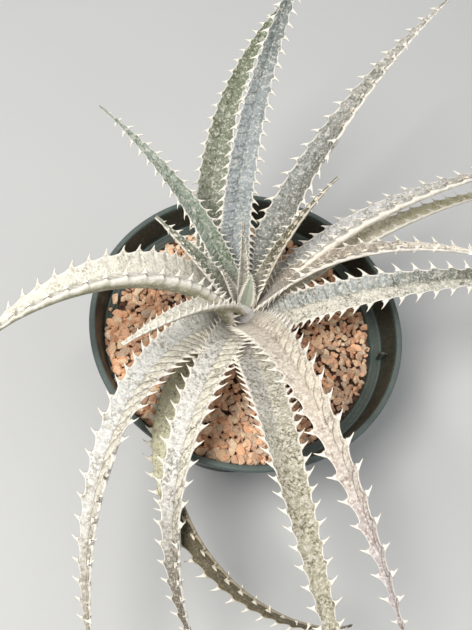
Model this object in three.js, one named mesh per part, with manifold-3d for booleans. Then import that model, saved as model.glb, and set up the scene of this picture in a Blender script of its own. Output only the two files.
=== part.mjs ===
// Dyckia bromeliad growing in a plastic nursery pot topped with crushed brick gravel.
//
// Frame: millimetres, +Z up. The origin is the middle of the pot's flat base, on the surface it
// stands on, and -Y is the front. Angles are in degrees, azimuths turning from +X towards +Y.

import * as THREE from 'three';
import { mergeVertices } from 'three/addons/utils/BufferGeometryUtils.js';
import Module from 'manifold-3d';

const wasm = await Module();
wasm.setup();

// ---------------------------------------------------------------- driving dimensions

const GAP = 0.3; // clearance between pieces that touch
const LEAF_GAP = 0.4; // and between leaves that press against each other

// Pot: a shallow eight-inch nursery pot with a deep collar and a ledge inside it.
const POT_HEIGHT = 110;
const RIM_RADIUS = 100;
const LIP_WIDTH = 3.5; // flat top of the rim
const LIP_DEPTH = 4; // how far the lip hangs down outside the collar
const LEDGE_HEIGHT = POT_HEIGHT - 18;
const LEDGE_OUTER = 90; // inner radius at the foot of the collar
const LEDGE_INNER = 84; // inner radius at the mouth of the lower wall
const WALL = 2.4;
const BASE_RADIUS = 60; // outside, on the ground
const BASE_THICKNESS = 3;
const POT_SIDES = 48;
const DRAIN_COUNT = 8;
const DRAIN_RADIUS = 5;
const DRAIN_CIRCLE = 47;
const TAB_AZIMUTH = 7; // a small moulded tab stands on the ledge
const TAB = { radial: 6, across: 2, tall: 11 };

// Gravel: crushed brick, as relief on the top of one filling.
const CHIP_PITCH = 10.2;
const CHIP_JITTER = 0.24; // of the pitch
const CHIP_TOP = 0.66; // a chip's top against its footprint
const CHIP_RISE = { low: 1.6, high: 3.6 }; // of a chip's top over the dips round it
const GRAVEL_LEVEL = LEDGE_HEIGHT - 2; // dips, in the middle of the pot
const HEAP_AZIMUTH = 175; // the gravel is higher on this side
const HEAP_SLOPE = 1.2; // rise from the middle to the wall there
const HEAP_CREST = 2.8; // further rise by the wall, which buries the ledge but on the low side

// Plant: its crown stands a little off the pot's axis.
const CROWN = new THREE.Vector2(-5, 0);
const STEM = {
  foot: POT_HEIGHT - 44,
  shoulder: POT_HEIGHT - 8,
  top: POT_HEIGHT + 12,
  radius: 7,
  tip: 3,
  sides: 20,
};

// Leaf section, as shares of its width: a shallow channel above and a thick keel below.
const CHANNEL = 0.1;
const KEEL_HALF = 0.3;
const THICKNESS = 0.17;
const THICKNESS_RANGE = { low: 1.5, high: 4.2 };
const TIP_WIDTH = 1.4;
const WAIST = 0.55; // width of a big leaf at its root, against its full width
const WAIST_LENGTH = 28; // distance over which a leaf reaches its full width

// Marginal spines, one pair for each step along a leaf.
const SPINE = { pitch: 11, length: 5.4, halfBase: 1.5, lean: 0.3, lift: 0.22 };
const SPINE_START = 24; // first pair, from the root
const FULL_SPINE_WIDTH = 20; // narrower leaves carry shorter spines, closer together

// One row for each leaf, from the heart of the rosette outwards. A leaf starts at its root, the
// distance from the crown's axis, and its height, counted from the rim. It heads for its azimuth
// and climbs at its rise. Over its length the heading turns by the sweep and the climb falls by
// the droop, as the powers bend and arch of the share of length covered. The width shrinks to
// nothing as the power taper. The blade is rolled about its midrib by twist at the root and by
// twist + turn at the tip.
const LEAVES = [
  // azimuth, sweep, bend, rise, droop, arch, length, width, taper, twist, turn, root, height
  [97, 6, 1.5, 74, 5, 1.2, 28, 12, 1.6, -1, 0, 0, 12.5],
  [173, 14, 1.5, 72, 12, 1.2, 41, 9.5, 1.4, 6, 18, 3, 10],
  [128, -3, 1.5, 76, 10, 1.2, 68, 8, 1.4, 1, 7, 3, 10],
  [235, 2, 1.5, 66, 64, 1.1, 123, 14.5, 1.8, -15, 20, 3.5, 11],
  [185, -13, 1.5, 65, 31, 1.2, 93, 12.5, 1.6, 6, 24, 4, 10],
  [71, -19, 1.3, 66, 29, 1.1, 103, 10.5, 1.6, 20, 16, 4, 9],
  [146, 23, 0.7, 66, 40, 0.8, 158, 16, 1.6, -2, 32, 4, 6],
  [59, -62, 0.6, 59, 56, 0.5, 176, 17.5, 1.4, 26, -11, 4, 4.5],
  [297, 14, 1.7, 61, 103, 1.3, 271, 24, 1.3, -13, -37, 4, 3],
  [193, 40, 0.7, 64, 101, 1.3, 202, 30.5, 2.2, -2, -17, 4, 1],
  [139, -62, 0.5, 54, 18, 1.1, 234, 20, 2.2, -5, -13, 4, 1.5],
  [260, 66, 2.1, 56, 104, 0.6, 233, 20.5, 2.2, 6, -69, 4, 0],
  [98, -44, 0.5, 54, 26, 0.7, 244, 22, 1.5, 7, 23, 4, -1.5],
  [65, -40, 0.6, 52, 44, 0.5, 214, 19, 2.1, 29, -10, 4, -4],
  [224, 83, 0.9, 48, 102, 0.9, 280, 26.5, 1.1, 21, -84, 4, -6],
  [15, 11, 1.5, 43, 74, 1.5, 217, 22, 1.7, -9, -17, 4, -7],
  [292, 17, 1.9, 48, 87, 1.0, 284, 26, 1.4, 6, -18, 4, -9],
  [161, -92, 0.5, 40, 27, 1.2, 230, 23, 1.9, 4, -21, 4, -10],
  [57, -24, 0.6, 31, 42, 1.2, 221, 15, 1.9, 7, 4, 4, -11.5],
  [233, 166, 1.1, 15, 57, 1.5, 290, 15.5, 1.7, 4, -75, 4, -13.5],
].map(([azimuth, sweep, bend, rise, droop, arch, length, width, taper, twist, turn, root, height]) => ({
  azimuth, sweep, bend, rise, droop, arch, length, width, taper, twist, turn, root, height,
}));

// ---------------------------------------------------------------- materials

const plastic = new THREE.MeshStandardMaterial({ color: 0x4b5a55, roughness: 0.5, metalness: 0 });
const brick = new THREE.MeshStandardMaterial({ color: 0xb98667, roughness: 0.9, metalness: 0 });
const crownSkin = new THREE.MeshStandardMaterial({ color: 0x8d8a72, roughness: 0.8, metalness: 0 });
const leafSkin = new THREE.MeshStandardMaterial({ color: 0xb9b8a8, roughness: 0.75, metalness: 0 });

// ---------------------------------------------------------------- helpers

const radians = THREE.MathUtils.degToRad;
const { clamp, lerp, smoothstep } = THREE.MathUtils;

// Small repeatable random numbers, the same on every run.
function seededRandom(seed) {
  let state = seed;
  return () => {
    state = (state * 1664525 + 1013904223) % 4294967296;
    return state / 4294967296;
  };
}

// Point at a radius, an azimuth and a height.
function polar(radius, azimuth, z) {
  return new THREE.Vector3(radius * Math.cos(radians(azimuth)), radius * Math.sin(radians(azimuth)), z);
}

// Solid of a closed geometry.
function toSolid(geometry) {
  const bare = geometry.clone();
  bare.deleteAttribute('normal');
  bare.deleteAttribute('uv');
  const merged = mergeVertices(bare, 1e-4);
  return new wasm.Manifold(new wasm.Mesh({
    numProp: 3,
    vertProperties: new Float32Array(merged.attributes.position.array),
    triVerts: new Uint32Array(merged.index.array),
  }));
}

// Geometry of a solid.
function toGeometry(solid) {
  const { vertProperties, triVerts, numProp } = solid.getMesh();
  const positions = new Float32Array((vertProperties.length / numProp) * 3);
  for (let i = 0; i < positions.length / 3; i += 1) {
    positions.set(vertProperties.slice(i * numProp, i * numProp + 3), i * 3);
  }
  const geometry = new THREE.BufferGeometry();
  geometry.setAttribute('position', new THREE.BufferAttribute(positions, 3));
  geometry.setIndex(new THREE.BufferAttribute(new Uint32Array(triVerts), 1));
  geometry.computeVertexNormals();
  return geometry;
}

// The biggest of the bodies that a cut leaves.
function biggestBody(solid) {
  return solid.decompose().reduce((best, body) => (body.volume() > best.volume() ? body : best));
}

// Solid from a list of equal rings of points, closed by a fan at each end.
function loft(rings) {
  const size = rings[0].length;
  const points = rings.flat();
  const faces = [];
  for (let i = 0; i + 1 < rings.length; i += 1) {
    for (let j = 0; j < size; j += 1) {
      const a = i * size + j;
      const b = i * size + ((j + 1) % size);
      faces.push(a, b, a + size, b, b + size, a + size);
    }
  }
  const last = (rings.length - 1) * size;
  for (let j = 1; j + 1 < size; j += 1) {
    faces.push(0, j + 1, j, last, last + j, last + j + 1);
  }
  const geometry = new THREE.BufferGeometry().setFromPoints(points);
  geometry.setIndex(faces);
  return toSolid(geometry);
}

// Solid turned about +Z from [radius, z] pairs that start and end on the axis.
function turned(profile, sides) {
  const points = profile.map(([radius, z]) => new THREE.Vector2(radius, z));
  return toSolid(new THREE.LatheGeometry(points, sides).rotateX(Math.PI / 2));
}

// ---------------------------------------------------------------- pot

// Profile of the space inside the pot, from the floor up, drawn in by a clearance.
function insideProfile(clearance) {
  const floorRadius = BASE_RADIUS - WALL;
  const mouth = RIM_RADIUS - LIP_WIDTH;
  return [
    [floorRadius - clearance, BASE_THICKNESS + clearance],
    [LEDGE_INNER - clearance, LEDGE_HEIGHT + clearance],
    [LEDGE_OUTER - clearance, LEDGE_HEIGHT + clearance],
    [mouth - clearance, POT_HEIGHT],
  ];
}

function makePot() {
  const collarFoot = LEDGE_HEIGHT - WALL - 1;
  const lipFoot = POT_HEIGHT - LIP_DEPTH;
  const outside = [
    [0, 0],
    [BASE_RADIUS, 0],
    [LEDGE_INNER + WALL, collarFoot - 1],
    [LEDGE_OUTER + WALL, collarFoot],
    [RIM_RADIUS - LIP_WIDTH + 1.6, lipFoot],
    [RIM_RADIUS - 0.8, lipFoot],
    [RIM_RADIUS, lipFoot + 1],
    [RIM_RADIUS, POT_HEIGHT - 1.2],
    [RIM_RADIUS - 1, POT_HEIGHT],
  ];
  const inside = insideProfile(0).reverse();
  let pot = turned([...outside, ...inside, [0, BASE_THICKNESS]], POT_SIDES);

  const drain = new THREE.CylinderGeometry(DRAIN_RADIUS, DRAIN_RADIUS, 4 * BASE_THICKNESS, 12);
  drain.rotateX(Math.PI / 2);
  for (let i = 0; i < DRAIN_COUNT; i += 1) {
    const place = polar(DRAIN_CIRCLE, (i * 360) / DRAIN_COUNT, 0);
    pot = pot.subtract(toSolid(drain).translate(place.toArray()));
  }

  const tab = new THREE.BoxGeometry(TAB.radial, TAB.across, TAB.tall);
  tab.translate(LEDGE_OUTER, 0, LEDGE_HEIGHT - 1 + TAB.tall / 2);
  tab.rotateZ(radians(TAB_AZIMUTH));
  return pot.add(toSolid(tab));
}

// ---------------------------------------------------------------- gravel

// Level of the dips between the chips.
function gravelLevel(x, y) {
  const towards = x * Math.cos(radians(HEAP_AZIMUTH)) + y * Math.sin(radians(HEAP_AZIMUTH));
  const share = towards / LEDGE_INNER;
  const byWall = smoothstep(Math.hypot(x, y), 0.7 * LEDGE_INNER, 0.95 * LEDGE_INNER);
  return GRAVEL_LEVEL + HEAP_SLOPE * share + HEAP_CREST * byWall * smoothstep(share, -0.6, -0.15);
}

// A slab whose top is a jittered lattice of faceted chips, wider than the pot.
function makeChipSlab() {
  const random = seededRandom(7);
  const half = Math.ceil((LEDGE_OUTER + 4) / CHIP_PITCH);
  const count = 2 * half + 1;
  const points = [];
  const faces = [];

  // Corners shared by neighbouring chips, on a lattice that wanders.
  const corner = (i, j) => i * (count + 1) + j;
  for (let i = 0; i <= count; i += 1) {
    for (let j = 0; j <= count; j += 1) {
      const u = (i - count / 2) * CHIP_PITCH;
      const v = (j - count / 2) * CHIP_PITCH;
      const x = u + 2.6 * Math.sin(v / 13) + (random() - 0.5) * 2 * CHIP_JITTER * CHIP_PITCH;
      const y = v + 2.6 * Math.sin(u / 15 + 1) + (random() - 0.5) * 2 * CHIP_JITTER * CHIP_PITCH;
      points.push(new THREE.Vector3(x, y, gravelLevel(x, y) - random()));
    }
  }

  // Each chip: four sloping sides and a tilted top.
  for (let i = 0; i < count; i += 1) {
    for (let j = 0; j < count; j += 1) {
      const foot = [corner(i, j), corner(i + 1, j), corner(i + 1, j + 1), corner(i, j + 1)];
      const middle = foot.reduce((sum, k) => sum.add(points[k]), new THREE.Vector3()).divideScalar(4);
      const rise = lerp(CHIP_RISE.low, CHIP_RISE.high, random());
      const tilt = new THREE.Vector2(random() - 0.5, random() - 0.5).multiplyScalar(0.5);
      const top = foot.map((k) => {
        const arm = points[k].clone().sub(middle).multiplyScalar(CHIP_TOP * lerp(0.8, 1.15, random()));
        arm.z = rise + arm.x * tilt.x + arm.y * tilt.y;
        return points.push(middle.clone().add(arm)) - 1;
      });
      for (let k = 0; k < 4; k += 1) {
        const next = (k + 1) % 4;
        faces.push(foot[k], foot[next], top[next], foot[k], top[next], top[k]);
      }
      faces.push(top[0], top[1], top[2], top[0], top[2], top[3]);
    }
  }

  // Skirt down to a flat underside.
  const edge = [];
  for (let i = 0; i < count; i += 1) edge.push(corner(i, 0));
  for (let j = 0; j < count; j += 1) edge.push(corner(count, j));
  for (let i = count; i > 0; i -= 1) edge.push(corner(i, count));
  for (let j = count; j > 0; j -= 1) edge.push(corner(0, j));
  const low = edge.map((k) => points.push(points[k].clone().setZ(-POT_HEIGHT)) - 1);
  const under = points.push(new THREE.Vector3(0, 0, -POT_HEIGHT)) - 1;
  edge.forEach((k, n) => {
    const next = (n + 1) % edge.length;
    faces.push(k, low[n], edge[next], edge[next], low[n], low[next], low[n], under, low[next]);
  });
  const geometry = new THREE.BufferGeometry().setFromPoints(points);
  geometry.setIndex(faces);
  return toSolid(geometry);
}

function makeGravel(stem) {
  const profile = insideProfile(GAP);
  const filling = turned([[0, profile[0][1]], ...profile, [0, POT_HEIGHT]], POT_SIDES);
  const tabRoom = new THREE.BoxGeometry(TAB.radial + 2 * GAP, TAB.across + 2 * GAP, 2 * TAB.tall);
  tabRoom.translate(LEDGE_OUTER, 0, LEDGE_HEIGHT);
  tabRoom.rotateZ(radians(TAB_AZIMUTH));
  return biggestBody(makeChipSlab().intersect(filling).subtract(toSolid(tabRoom)).subtract(stem));
}

// ---------------------------------------------------------------- plant

// The stem, or with a clearance the room it needs.
function makeStem(clearance = 0) {
  const { foot, shoulder, top, radius, tip, sides } = STEM;
  const profile = [
    [0, foot - clearance],
    [radius * 0.7 + clearance, foot - clearance],
    [radius + clearance, foot + 8],
    [radius + clearance, shoulder],
    [tip + clearance, top],
    [0, top + clearance],
  ];
  return turned(profile, sides).translate([CROWN.x, CROWN.y, 0]);
}

// Direction along a leaf, and its two cross directions, at a share t of its length.
function leafAxes(leaf, t) {
  const heading = radians(leaf.azimuth + leaf.sweep * t ** leaf.bend);
  const climb = radians(leaf.rise - leaf.droop * t ** leaf.arch);
  const roll = radians(leaf.twist + leaf.turn * t);
  const along = new THREE.Vector3(
    Math.cos(climb) * Math.cos(heading),
    Math.cos(climb) * Math.sin(heading),
    Math.sin(climb),
  );
  const level = new THREE.Vector3(Math.sin(heading), -Math.cos(heading), 0);
  const across = level.applyAxisAngle(along, -roll);
  const above = new THREE.Vector3().crossVectors(across, along);
  return { along, across, above };
}

// Distances from the root at which a leaf has a section, three to each pair of spines.
function leafStations(leaf, size, clearance) {
  const pitch = SPINE.pitch * lerp(0.5, 1, size);
  const start = SPINE_START * lerp(0.4, 1, size);
  const half = SPINE.halfBase * lerp(0.5, 1, size) + clearance;
  const end = leaf.length - 0.6 * pitch;
  const count = Math.max(2, Math.round((end - start) / pitch));
  const stations = [{ s: 0, spine: false }, { s: 0.4 * start, spine: false }];
  for (let i = 0; i <= count; i += 1) {
    const s = lerp(start, end, i / count);
    stations.push({ s: s - half, spine: false }, { s, spine: true }, { s: s + half, spine: false });
  }
  stations.push({ s: leaf.length + clearance, spine: false });
  return stations;
}

// A leaf with its spines, or with a clearance the room it needs.
function makeLeaf(leaf, clearance = 0) {
  const size = clamp(leaf.width / FULL_SPINE_WIDTH, 0, 1);
  const place = polar(leaf.root, leaf.azimuth, POT_HEIGHT + leaf.height);
  place.add(new THREE.Vector3(CROWN.x, CROWN.y, 0));
  const rings = [];
  let reached = 0;
  leafStations(leaf, size, clearance).forEach(({ s, spine }) => {
    const step = s - reached;
    place.addScaledVector(leafAxes(leaf, (reached + step / 2) / leaf.length).along, step);
    reached = s;

    const t = s / leaf.length;
    const { along, across, above } = leafAxes(leaf, t);
    const waist = lerp(lerp(1, WAIST, size), 1, smoothstep(s, 0, WAIST_LENGTH));
    const width = Math.max(TIP_WIDTH, leaf.width * waist * (1 - t ** leaf.taper));
    const { low, high } = THICKNESS_RANGE;
    const thick = Math.min(clamp(width * THICKNESS, low, high), width) + clearance;
    const lip = CHANNEL * width + clearance * 0.5;
    const half = width / 2 + clearance * 2;

    // Spines are short near the crown and at the tip.
    const grown = lerp(0.4, 1, smoothstep(s, 10, 45)) * lerp(1, 0.55, t ** 2) * lerp(0.4, 1, size);
    const reach = spine ? SPINE.length * grown + clearance : 0;
    const point = (u, v, w = 0) => place.clone()
      .addScaledVector(across, u).addScaledVector(above, v).addScaledVector(along, w);
    rings.push([
      point(-half - reach, lip + reach * SPINE.lift, -reach * SPINE.lean),
      point(0, clearance),
      point(half + reach, lip + reach * SPINE.lift, -reach * SPINE.lean),
      point(KEEL_HALF * width + clearance, -thick * 0.8),
      point(-KEEL_HALF * width - clearance, -thick * 0.8),
    ]);
  });
  return loft(rings);
}

// ---------------------------------------------------------------- assembly

const part = new THREE.Group();

function addPiece(name, solid, material) {
  const mesh = new THREE.Mesh(toGeometry(solid), material);
  mesh.name = name;
  part.add(mesh);
}

addPiece('pot', makePot(), plastic);
addPiece('gravel', makeGravel(makeStem(GAP)), brick);
addPiece('stem', makeStem(), crownSkin);

// Each leaf is cut back by the room that the stem and the leaves inside it need.
const leafRooms = [makeStem(GAP)];
LEAVES.forEach((leaf, index) => {
  const solid = leafRooms.reduce((rest, room) => rest.subtract(room), makeLeaf(leaf));
  leafRooms.push(makeLeaf(leaf, LEAF_GAP));
  addPiece(`leaf_${String(index + 1).padStart(2, '0')}`, biggestBody(solid).simplify(0.05), leafSkin);
});

export default part;
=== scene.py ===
"""Dyckia bromeliad in a nursery pot topped with crushed brick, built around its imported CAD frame.

Sizes are in metres, +Z up, and -Y is the front. The plant's own sizes are written in millimetres
and scaled by MM, because that is how they are measured. Angles among the sizes are in degrees, and
azimuths turn from +X towards +Y.
"""

import logging
import math
from dataclasses import dataclass, field
from enum import Enum
from typing import Iterable, Optional, Sequence, Union

import bpy
import numpy as np
from mathutils import Matrix, Vector


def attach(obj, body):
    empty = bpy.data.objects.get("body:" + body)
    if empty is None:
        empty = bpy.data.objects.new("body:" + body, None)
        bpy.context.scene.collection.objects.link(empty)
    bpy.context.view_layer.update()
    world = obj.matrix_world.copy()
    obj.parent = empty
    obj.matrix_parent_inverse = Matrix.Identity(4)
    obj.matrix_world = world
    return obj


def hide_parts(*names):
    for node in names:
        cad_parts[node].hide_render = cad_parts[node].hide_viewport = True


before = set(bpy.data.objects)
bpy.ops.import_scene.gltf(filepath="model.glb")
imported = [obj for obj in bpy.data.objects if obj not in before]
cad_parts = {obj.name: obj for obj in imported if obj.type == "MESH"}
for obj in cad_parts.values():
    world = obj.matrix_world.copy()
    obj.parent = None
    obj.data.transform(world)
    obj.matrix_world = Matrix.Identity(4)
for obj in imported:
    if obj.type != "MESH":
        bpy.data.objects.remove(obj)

MM = 0.001
SAME_POINT = 1e-5
NEARLY_ZERO = 1e-9
POT_HEIGHT = 110.0
RIM_RADIUS = 100.0
LEDGE_HEIGHT = 92.0
LEDGE_OUTER = 90.0
LEDGE_INNER = 84.0
CROWN = np.array([-5.0, 0.0])

log = logging.getLogger("dyckia")

Shade = tuple[int, int, int]
Colour = tuple[float, float, float]
Face = tuple[int, ...]
Socket = bpy.types.NodeSocket
Value = Union[float, Sequence[float], Socket]


# ---------------------------------------------------------------- numbers


def linear(red: int, green: int, blue: int) -> Colour:
    """Turns a display colour into scene light by the sRGB curve.

    Args:
        red: 0 to 255.
        green: 0 to 255.
        blue: 0 to 255.

    Returns:
        The same colour in linear light.
    """
    found = []
    for value in (red, green, blue):
        share = value / 255
        found.append(share / 12.92 if share <= 0.04045 else ((share + 0.055) / 1.055) ** 2.4)
    return found[0], found[1], found[2]


def smoothstep(value: np.ndarray, low: float, high: float) -> np.ndarray:
    """Eases from 0 to 1 as a value goes from low to high."""
    share = np.clip((np.asarray(value, float) - low) / (high - low), 0.0, 1.0)
    return share * share * (3 - 2 * share)


def degrees_from(x: np.ndarray, y: np.ndarray, azimuth: float) -> np.ndarray:
    """How far places lie from an azimuth, in degrees either way."""
    return np.abs(np.mod(np.degrees(np.arctan2(y, x)) - azimuth + 180, 360) - 180)


# ---------------------------------------------------------------- meshes


def deselect() -> None:
    """Leaves nothing selected, in object mode."""
    if bpy.context.object is not None and bpy.context.object.mode != "OBJECT":
        bpy.ops.object.mode_set(mode="OBJECT")
    bpy.ops.object.select_all(action="DESELECT")


def settle(piece: bpy.types.Object) -> None:
    """Moves a piece's place into its mesh, so that its object sits at the origin."""
    piece.data.transform(piece.matrix_world)
    piece.matrix_world = Matrix.Identity(4)


def select_only(piece: bpy.types.Object) -> None:
    """Selects one object and makes it the active one.

    Args:
        piece: The object.
    """
    deselect()
    piece.select_set(True)
    bpy.context.view_layer.objects.active = piece


def start_editing(piece: bpy.types.Object) -> None:
    """Opens an object in edit mode, with all of its mesh selected.

    Args:
        piece: The object.
    """
    select_only(piece)
    bpy.ops.object.mode_set(mode="EDIT")
    bpy.ops.mesh.select_all(action="SELECT")


def merge_points(gap: float) -> None:
    """Merges the points of the edited mesh that lie closer than a gap."""
    bpy.ops.mesh.select_all(action="SELECT")
    bpy.ops.mesh.remove_doubles(threshold=gap)


def face_outwards() -> None:
    """Turns all faces of the edited mesh outwards, and closes edit mode."""
    bpy.ops.mesh.select_all(action="SELECT")
    bpy.ops.mesh.normals_make_consistent(inside=False)
    bpy.ops.object.mode_set(mode="OBJECT")


def join_to(piece: bpy.types.Object, extra: bpy.types.Object) -> None:
    """Joins one object to another.

    Args:
        piece: The object that takes in the other and keeps its name.
        extra: The object that is taken in.
    """
    select_only(piece)
    extra.select_set(True)
    bpy.ops.object.join()


def apply_modifier(piece: bpy.types.Object, kind: str, **settings: object) -> None:
    """Adds a modifier and applies it.

    Args:
        piece: The mesh that it changes.
        kind: Blender's name for the modifier.
        settings: Its values.
    """
    select_only(piece)
    made = piece.modifiers.new(kind, kind)
    for name, value in settings.items():
        setattr(made, name, value)
    bpy.ops.object.modifier_apply(modifier=made.name)


def mesh_arrays(mesh: bpy.types.Mesh) -> tuple[np.ndarray, list[Face]]:
    """Reads a mesh.

    Args:
        mesh: The mesh.

    Returns:
        Its points, and the corners of each face.
    """
    points = np.empty(len(mesh.vertices) * 3)
    mesh.vertices.foreach_get("co", points)
    return points.reshape(-1, 3), [tuple(face.vertices) for face in mesh.polygons]


def move_points(piece: bpy.types.Object, points: np.ndarray) -> None:
    """Moves a piece's points to new places, one row for each, in metres."""
    piece.data.vertices.foreach_set("co", points.ravel())
    piece.data.update()


def new_piece(name: str, points: np.ndarray, faces: list[Face]) -> bpy.types.Object:
    """Makes an object from points and faces.

    Args:
        name: The piece's name.
        points: One row for each point, in metres.
        faces: The corners of each face.

    Returns:
        The object, linked to the scene.
    """
    mesh = bpy.data.meshes.new(name)
    mesh.from_pydata(points.tolist(), [], faces)
    mesh.update()
    piece = bpy.data.objects.new(name, mesh)
    bpy.context.scene.collection.objects.link(piece)
    return piece


def set_attribute(piece: bpy.types.Object, name: str, values: np.ndarray) -> None:
    """Stores a number or a vector on each point of a piece.

    Args:
        piece: The object.
        name: The attribute's name.
        values: One value or one row of three for each point.
    """
    kind, key = ("FLOAT", "value") if values.ndim == 1 else ("FLOAT_VECTOR", "vector")
    made = piece.data.attributes.new(name, kind, "POINT")
    made.data.foreach_set(key, values.astype(np.float32).ravel())


def spun(name: str, profile: Sequence[tuple[float, float]], steps: int) -> bpy.types.Object:
    """Spins a profile about +Z with the spin operator.

    Args:
        name: The piece's name.
        profile: Radius and height of each corner in millimetres, starting and ending on the axis.
        steps: How many flats there are round it.

    Returns:
        The closed solid.
    """
    points = np.array([(radius, 0.0, height) for radius, height in profile]) * MM
    piece = new_piece(name, points, [])
    mesh = piece.data
    mesh.edges.add(len(points) - 1)
    mesh.edges.foreach_set("vertices", [end for i in range(len(points) - 1) for end in (i, i + 1)])
    mesh.update()
    start_editing(piece)
    bpy.ops.mesh.spin(steps=steps, angle=math.tau, center=(0, 0, 0), axis=(0, 0, 1))
    merge_points(SAME_POINT)
    face_outwards()
    return piece


def rounded(profile: Sequence[tuple[float, float, float]], points_each: int = 5) -> list[tuple[float, float]]:
    """Rounds the corners of a profile.

    Args:
        profile: Radius, height and corner radius of each corner, in millimetres.
        points_each: How many points a rounded corner gets.

    Returns:
        Radius and height of each point of the rounded profile.
    """
    corners = [np.array(row[:2], float) for row in profile]
    found: list[tuple[float, float]] = []
    for k, ((_, _, bend), corner) in enumerate(zip(profile, corners)):
        if bend == 0 or k in (0, len(profile) - 1):
            found.append((float(corner[0]), float(corner[1])))
            continue
        before, after = corners[k - 1] - corner, corners[k + 1] - corner
        start = corner + before / np.linalg.norm(before) * bend
        end = corner + after / np.linalg.norm(after) * bend
        for share in np.linspace(0, 1, points_each):
            point = (1 - share) ** 2 * start + 2 * share * (1 - share) * corner + share**2 * end
            found.append((float(point[0]), float(point[1])))
    return found


# ---------------------------------------------------------------- shader graphs


@dataclass(frozen=True)
class Ramp:
    """A smooth change: where it starts and ends, and what it gives there."""

    low: float
    high: float
    start: float = 0.0
    end: float = 1.0


class Graph:
    """Adds and links the nodes of one material or node group."""

    def __init__(self, tree: bpy.types.NodeTree) -> None:
        """Starts with the tree that the nodes go into."""
        self.tree = tree

    def add(self, kind: str, inputs: Optional[dict] = None, **settings: object) -> bpy.types.Node:
        """Adds a node.

        Args:
            kind: The node's type.
            inputs: Values or sockets by input name or number.
            settings: The node's own properties.

        Returns:
            The node.
        """
        node = self.tree.nodes.new(kind)
        for name, value in settings.items():
            setattr(node, name, value)
        for key, value in (inputs or {}).items():
            self.feed(node.inputs[key], value)
        return node

    def feed(self, socket: Socket, value: Value) -> None:
        """Links a socket, or sets its value.

        Args:
            socket: The input socket.
            value: The output that it reads, or the number, vector or colour that it holds.
        """
        if isinstance(value, Socket):
            self.tree.links.new(value, socket)
        elif socket.type == "RGBA" and len(value) == 3:
            socket.default_value = (*value, 1.0)
        else:
            socket.default_value = value

    def math(self, operation: str, a: Value, b: Value = 0.0, clamp: bool = False) -> Socket:
        """Adds a Math node and returns its output."""
        return self.add("ShaderNodeMath", {0: a, 1: b}, operation=operation, use_clamp=clamp).outputs[0]

    def times(self, a: Value, b: Value) -> Socket:
        """Multiplies two values."""
        return self.math("MULTIPLY", a, b)

    def plus(self, a: Value, b: Value) -> Socket:
        """Adds two values."""
        return self.math("ADD", a, b)

    def minus(self, a: Value, b: Value) -> Socket:
        """Takes the second value from the first."""
        return self.math("SUBTRACT", a, b)

    def size(self, a: Value) -> Socket:
        """Drops a value's sign."""
        return self.math("ABSOLUTE", a)

    def mix(self, share: Value, a: Value, b: Value) -> Socket:
        """Adds a colour Mix node, whose colours are its sockets 6 and 7, and returns its output."""
        return self.add("ShaderNodeMix", {0: share, 6: a, 7: b}, data_type="RGBA").outputs[2]

    def lay(self, colour: Value, over: Value, mask: Value, share: Value) -> Socket:
        """Lays a colour over another where a mask shows it, at a share of its strength."""
        return self.mix(self.times(mask, share), over, colour)

    def ease(self, value: Value, ramp: Ramp) -> Socket:
        """Adds a smooth Map Range node.

        Args:
            value: What it reads.
            ramp: The change that it makes.

        Returns:
            The output socket.
        """
        inputs = {"Value": value, "From Min": ramp.low, "From Max": ramp.high}
        inputs.update({"To Min": ramp.start, "To Max": ramp.end})
        made = self.add("ShaderNodeMapRange", inputs, interpolation_type="SMOOTHSTEP")
        return made.outputs["Result"]

    def fade(self, value: Value, start: float, end: float) -> Socket:
        """Eases from start to end while a value goes from 0 to 1."""
        return self.ease(value, Ramp(0.0, 1.0, start, end))

    def noise(self, vector: Value, scale: Value, detail: float, rough: float) -> Socket:
        """Adds a Noise Texture and returns its value."""
        inputs = {"Vector": vector, "Scale": scale, "Detail": detail, "Roughness": rough}
        return self.add("ShaderNodeTexNoise", inputs).outputs[0]

    def pair(self, x: Value, y: Value) -> Socket:
        """Makes a vector of two values."""
        return self.add("ShaderNodeCombineXYZ", {0: x, 1: y}).outputs[0]

    def split(self, vector: Value) -> list[Socket]:
        """Splits a vector and returns its three parts."""
        return list(self.add("ShaderNodeSeparateXYZ", {0: vector}).outputs)

    def attribute(self, name: str, output: str) -> Socket:
        """Reads an attribute of the piece, as Fac or as Vector."""
        return self.add("ShaderNodeAttribute", attribute_name=name).outputs[output]

    def place(self) -> Socket:
        """The place of a point on its piece."""
        return self.add("ShaderNodeTexCoord").outputs["Object"]

    def bump(self, height: Value, strength: float, depth: float, normal: Optional[Value] = None) -> Socket:
        """Adds a Bump node.

        Args:
            height: Height, 0 to 1.
            strength: How far the bump shows.
            depth: What a height of 1 stands for, in metres.
            normal: A normal to add to.

        Returns:
            The normal.
        """
        inputs = {"Height": height, "Strength": strength, "Distance": depth}
        if normal is not None:
            inputs["Normal"] = normal
        return self.add("ShaderNodeBump", inputs).outputs[0]

    def use(self, group: bpy.types.NodeTree, inputs: dict) -> bpy.types.NodeOutputs:
        """Places a node group and returns its outputs."""
        return self.add("ShaderNodeGroup", inputs, node_tree=group).outputs


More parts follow.
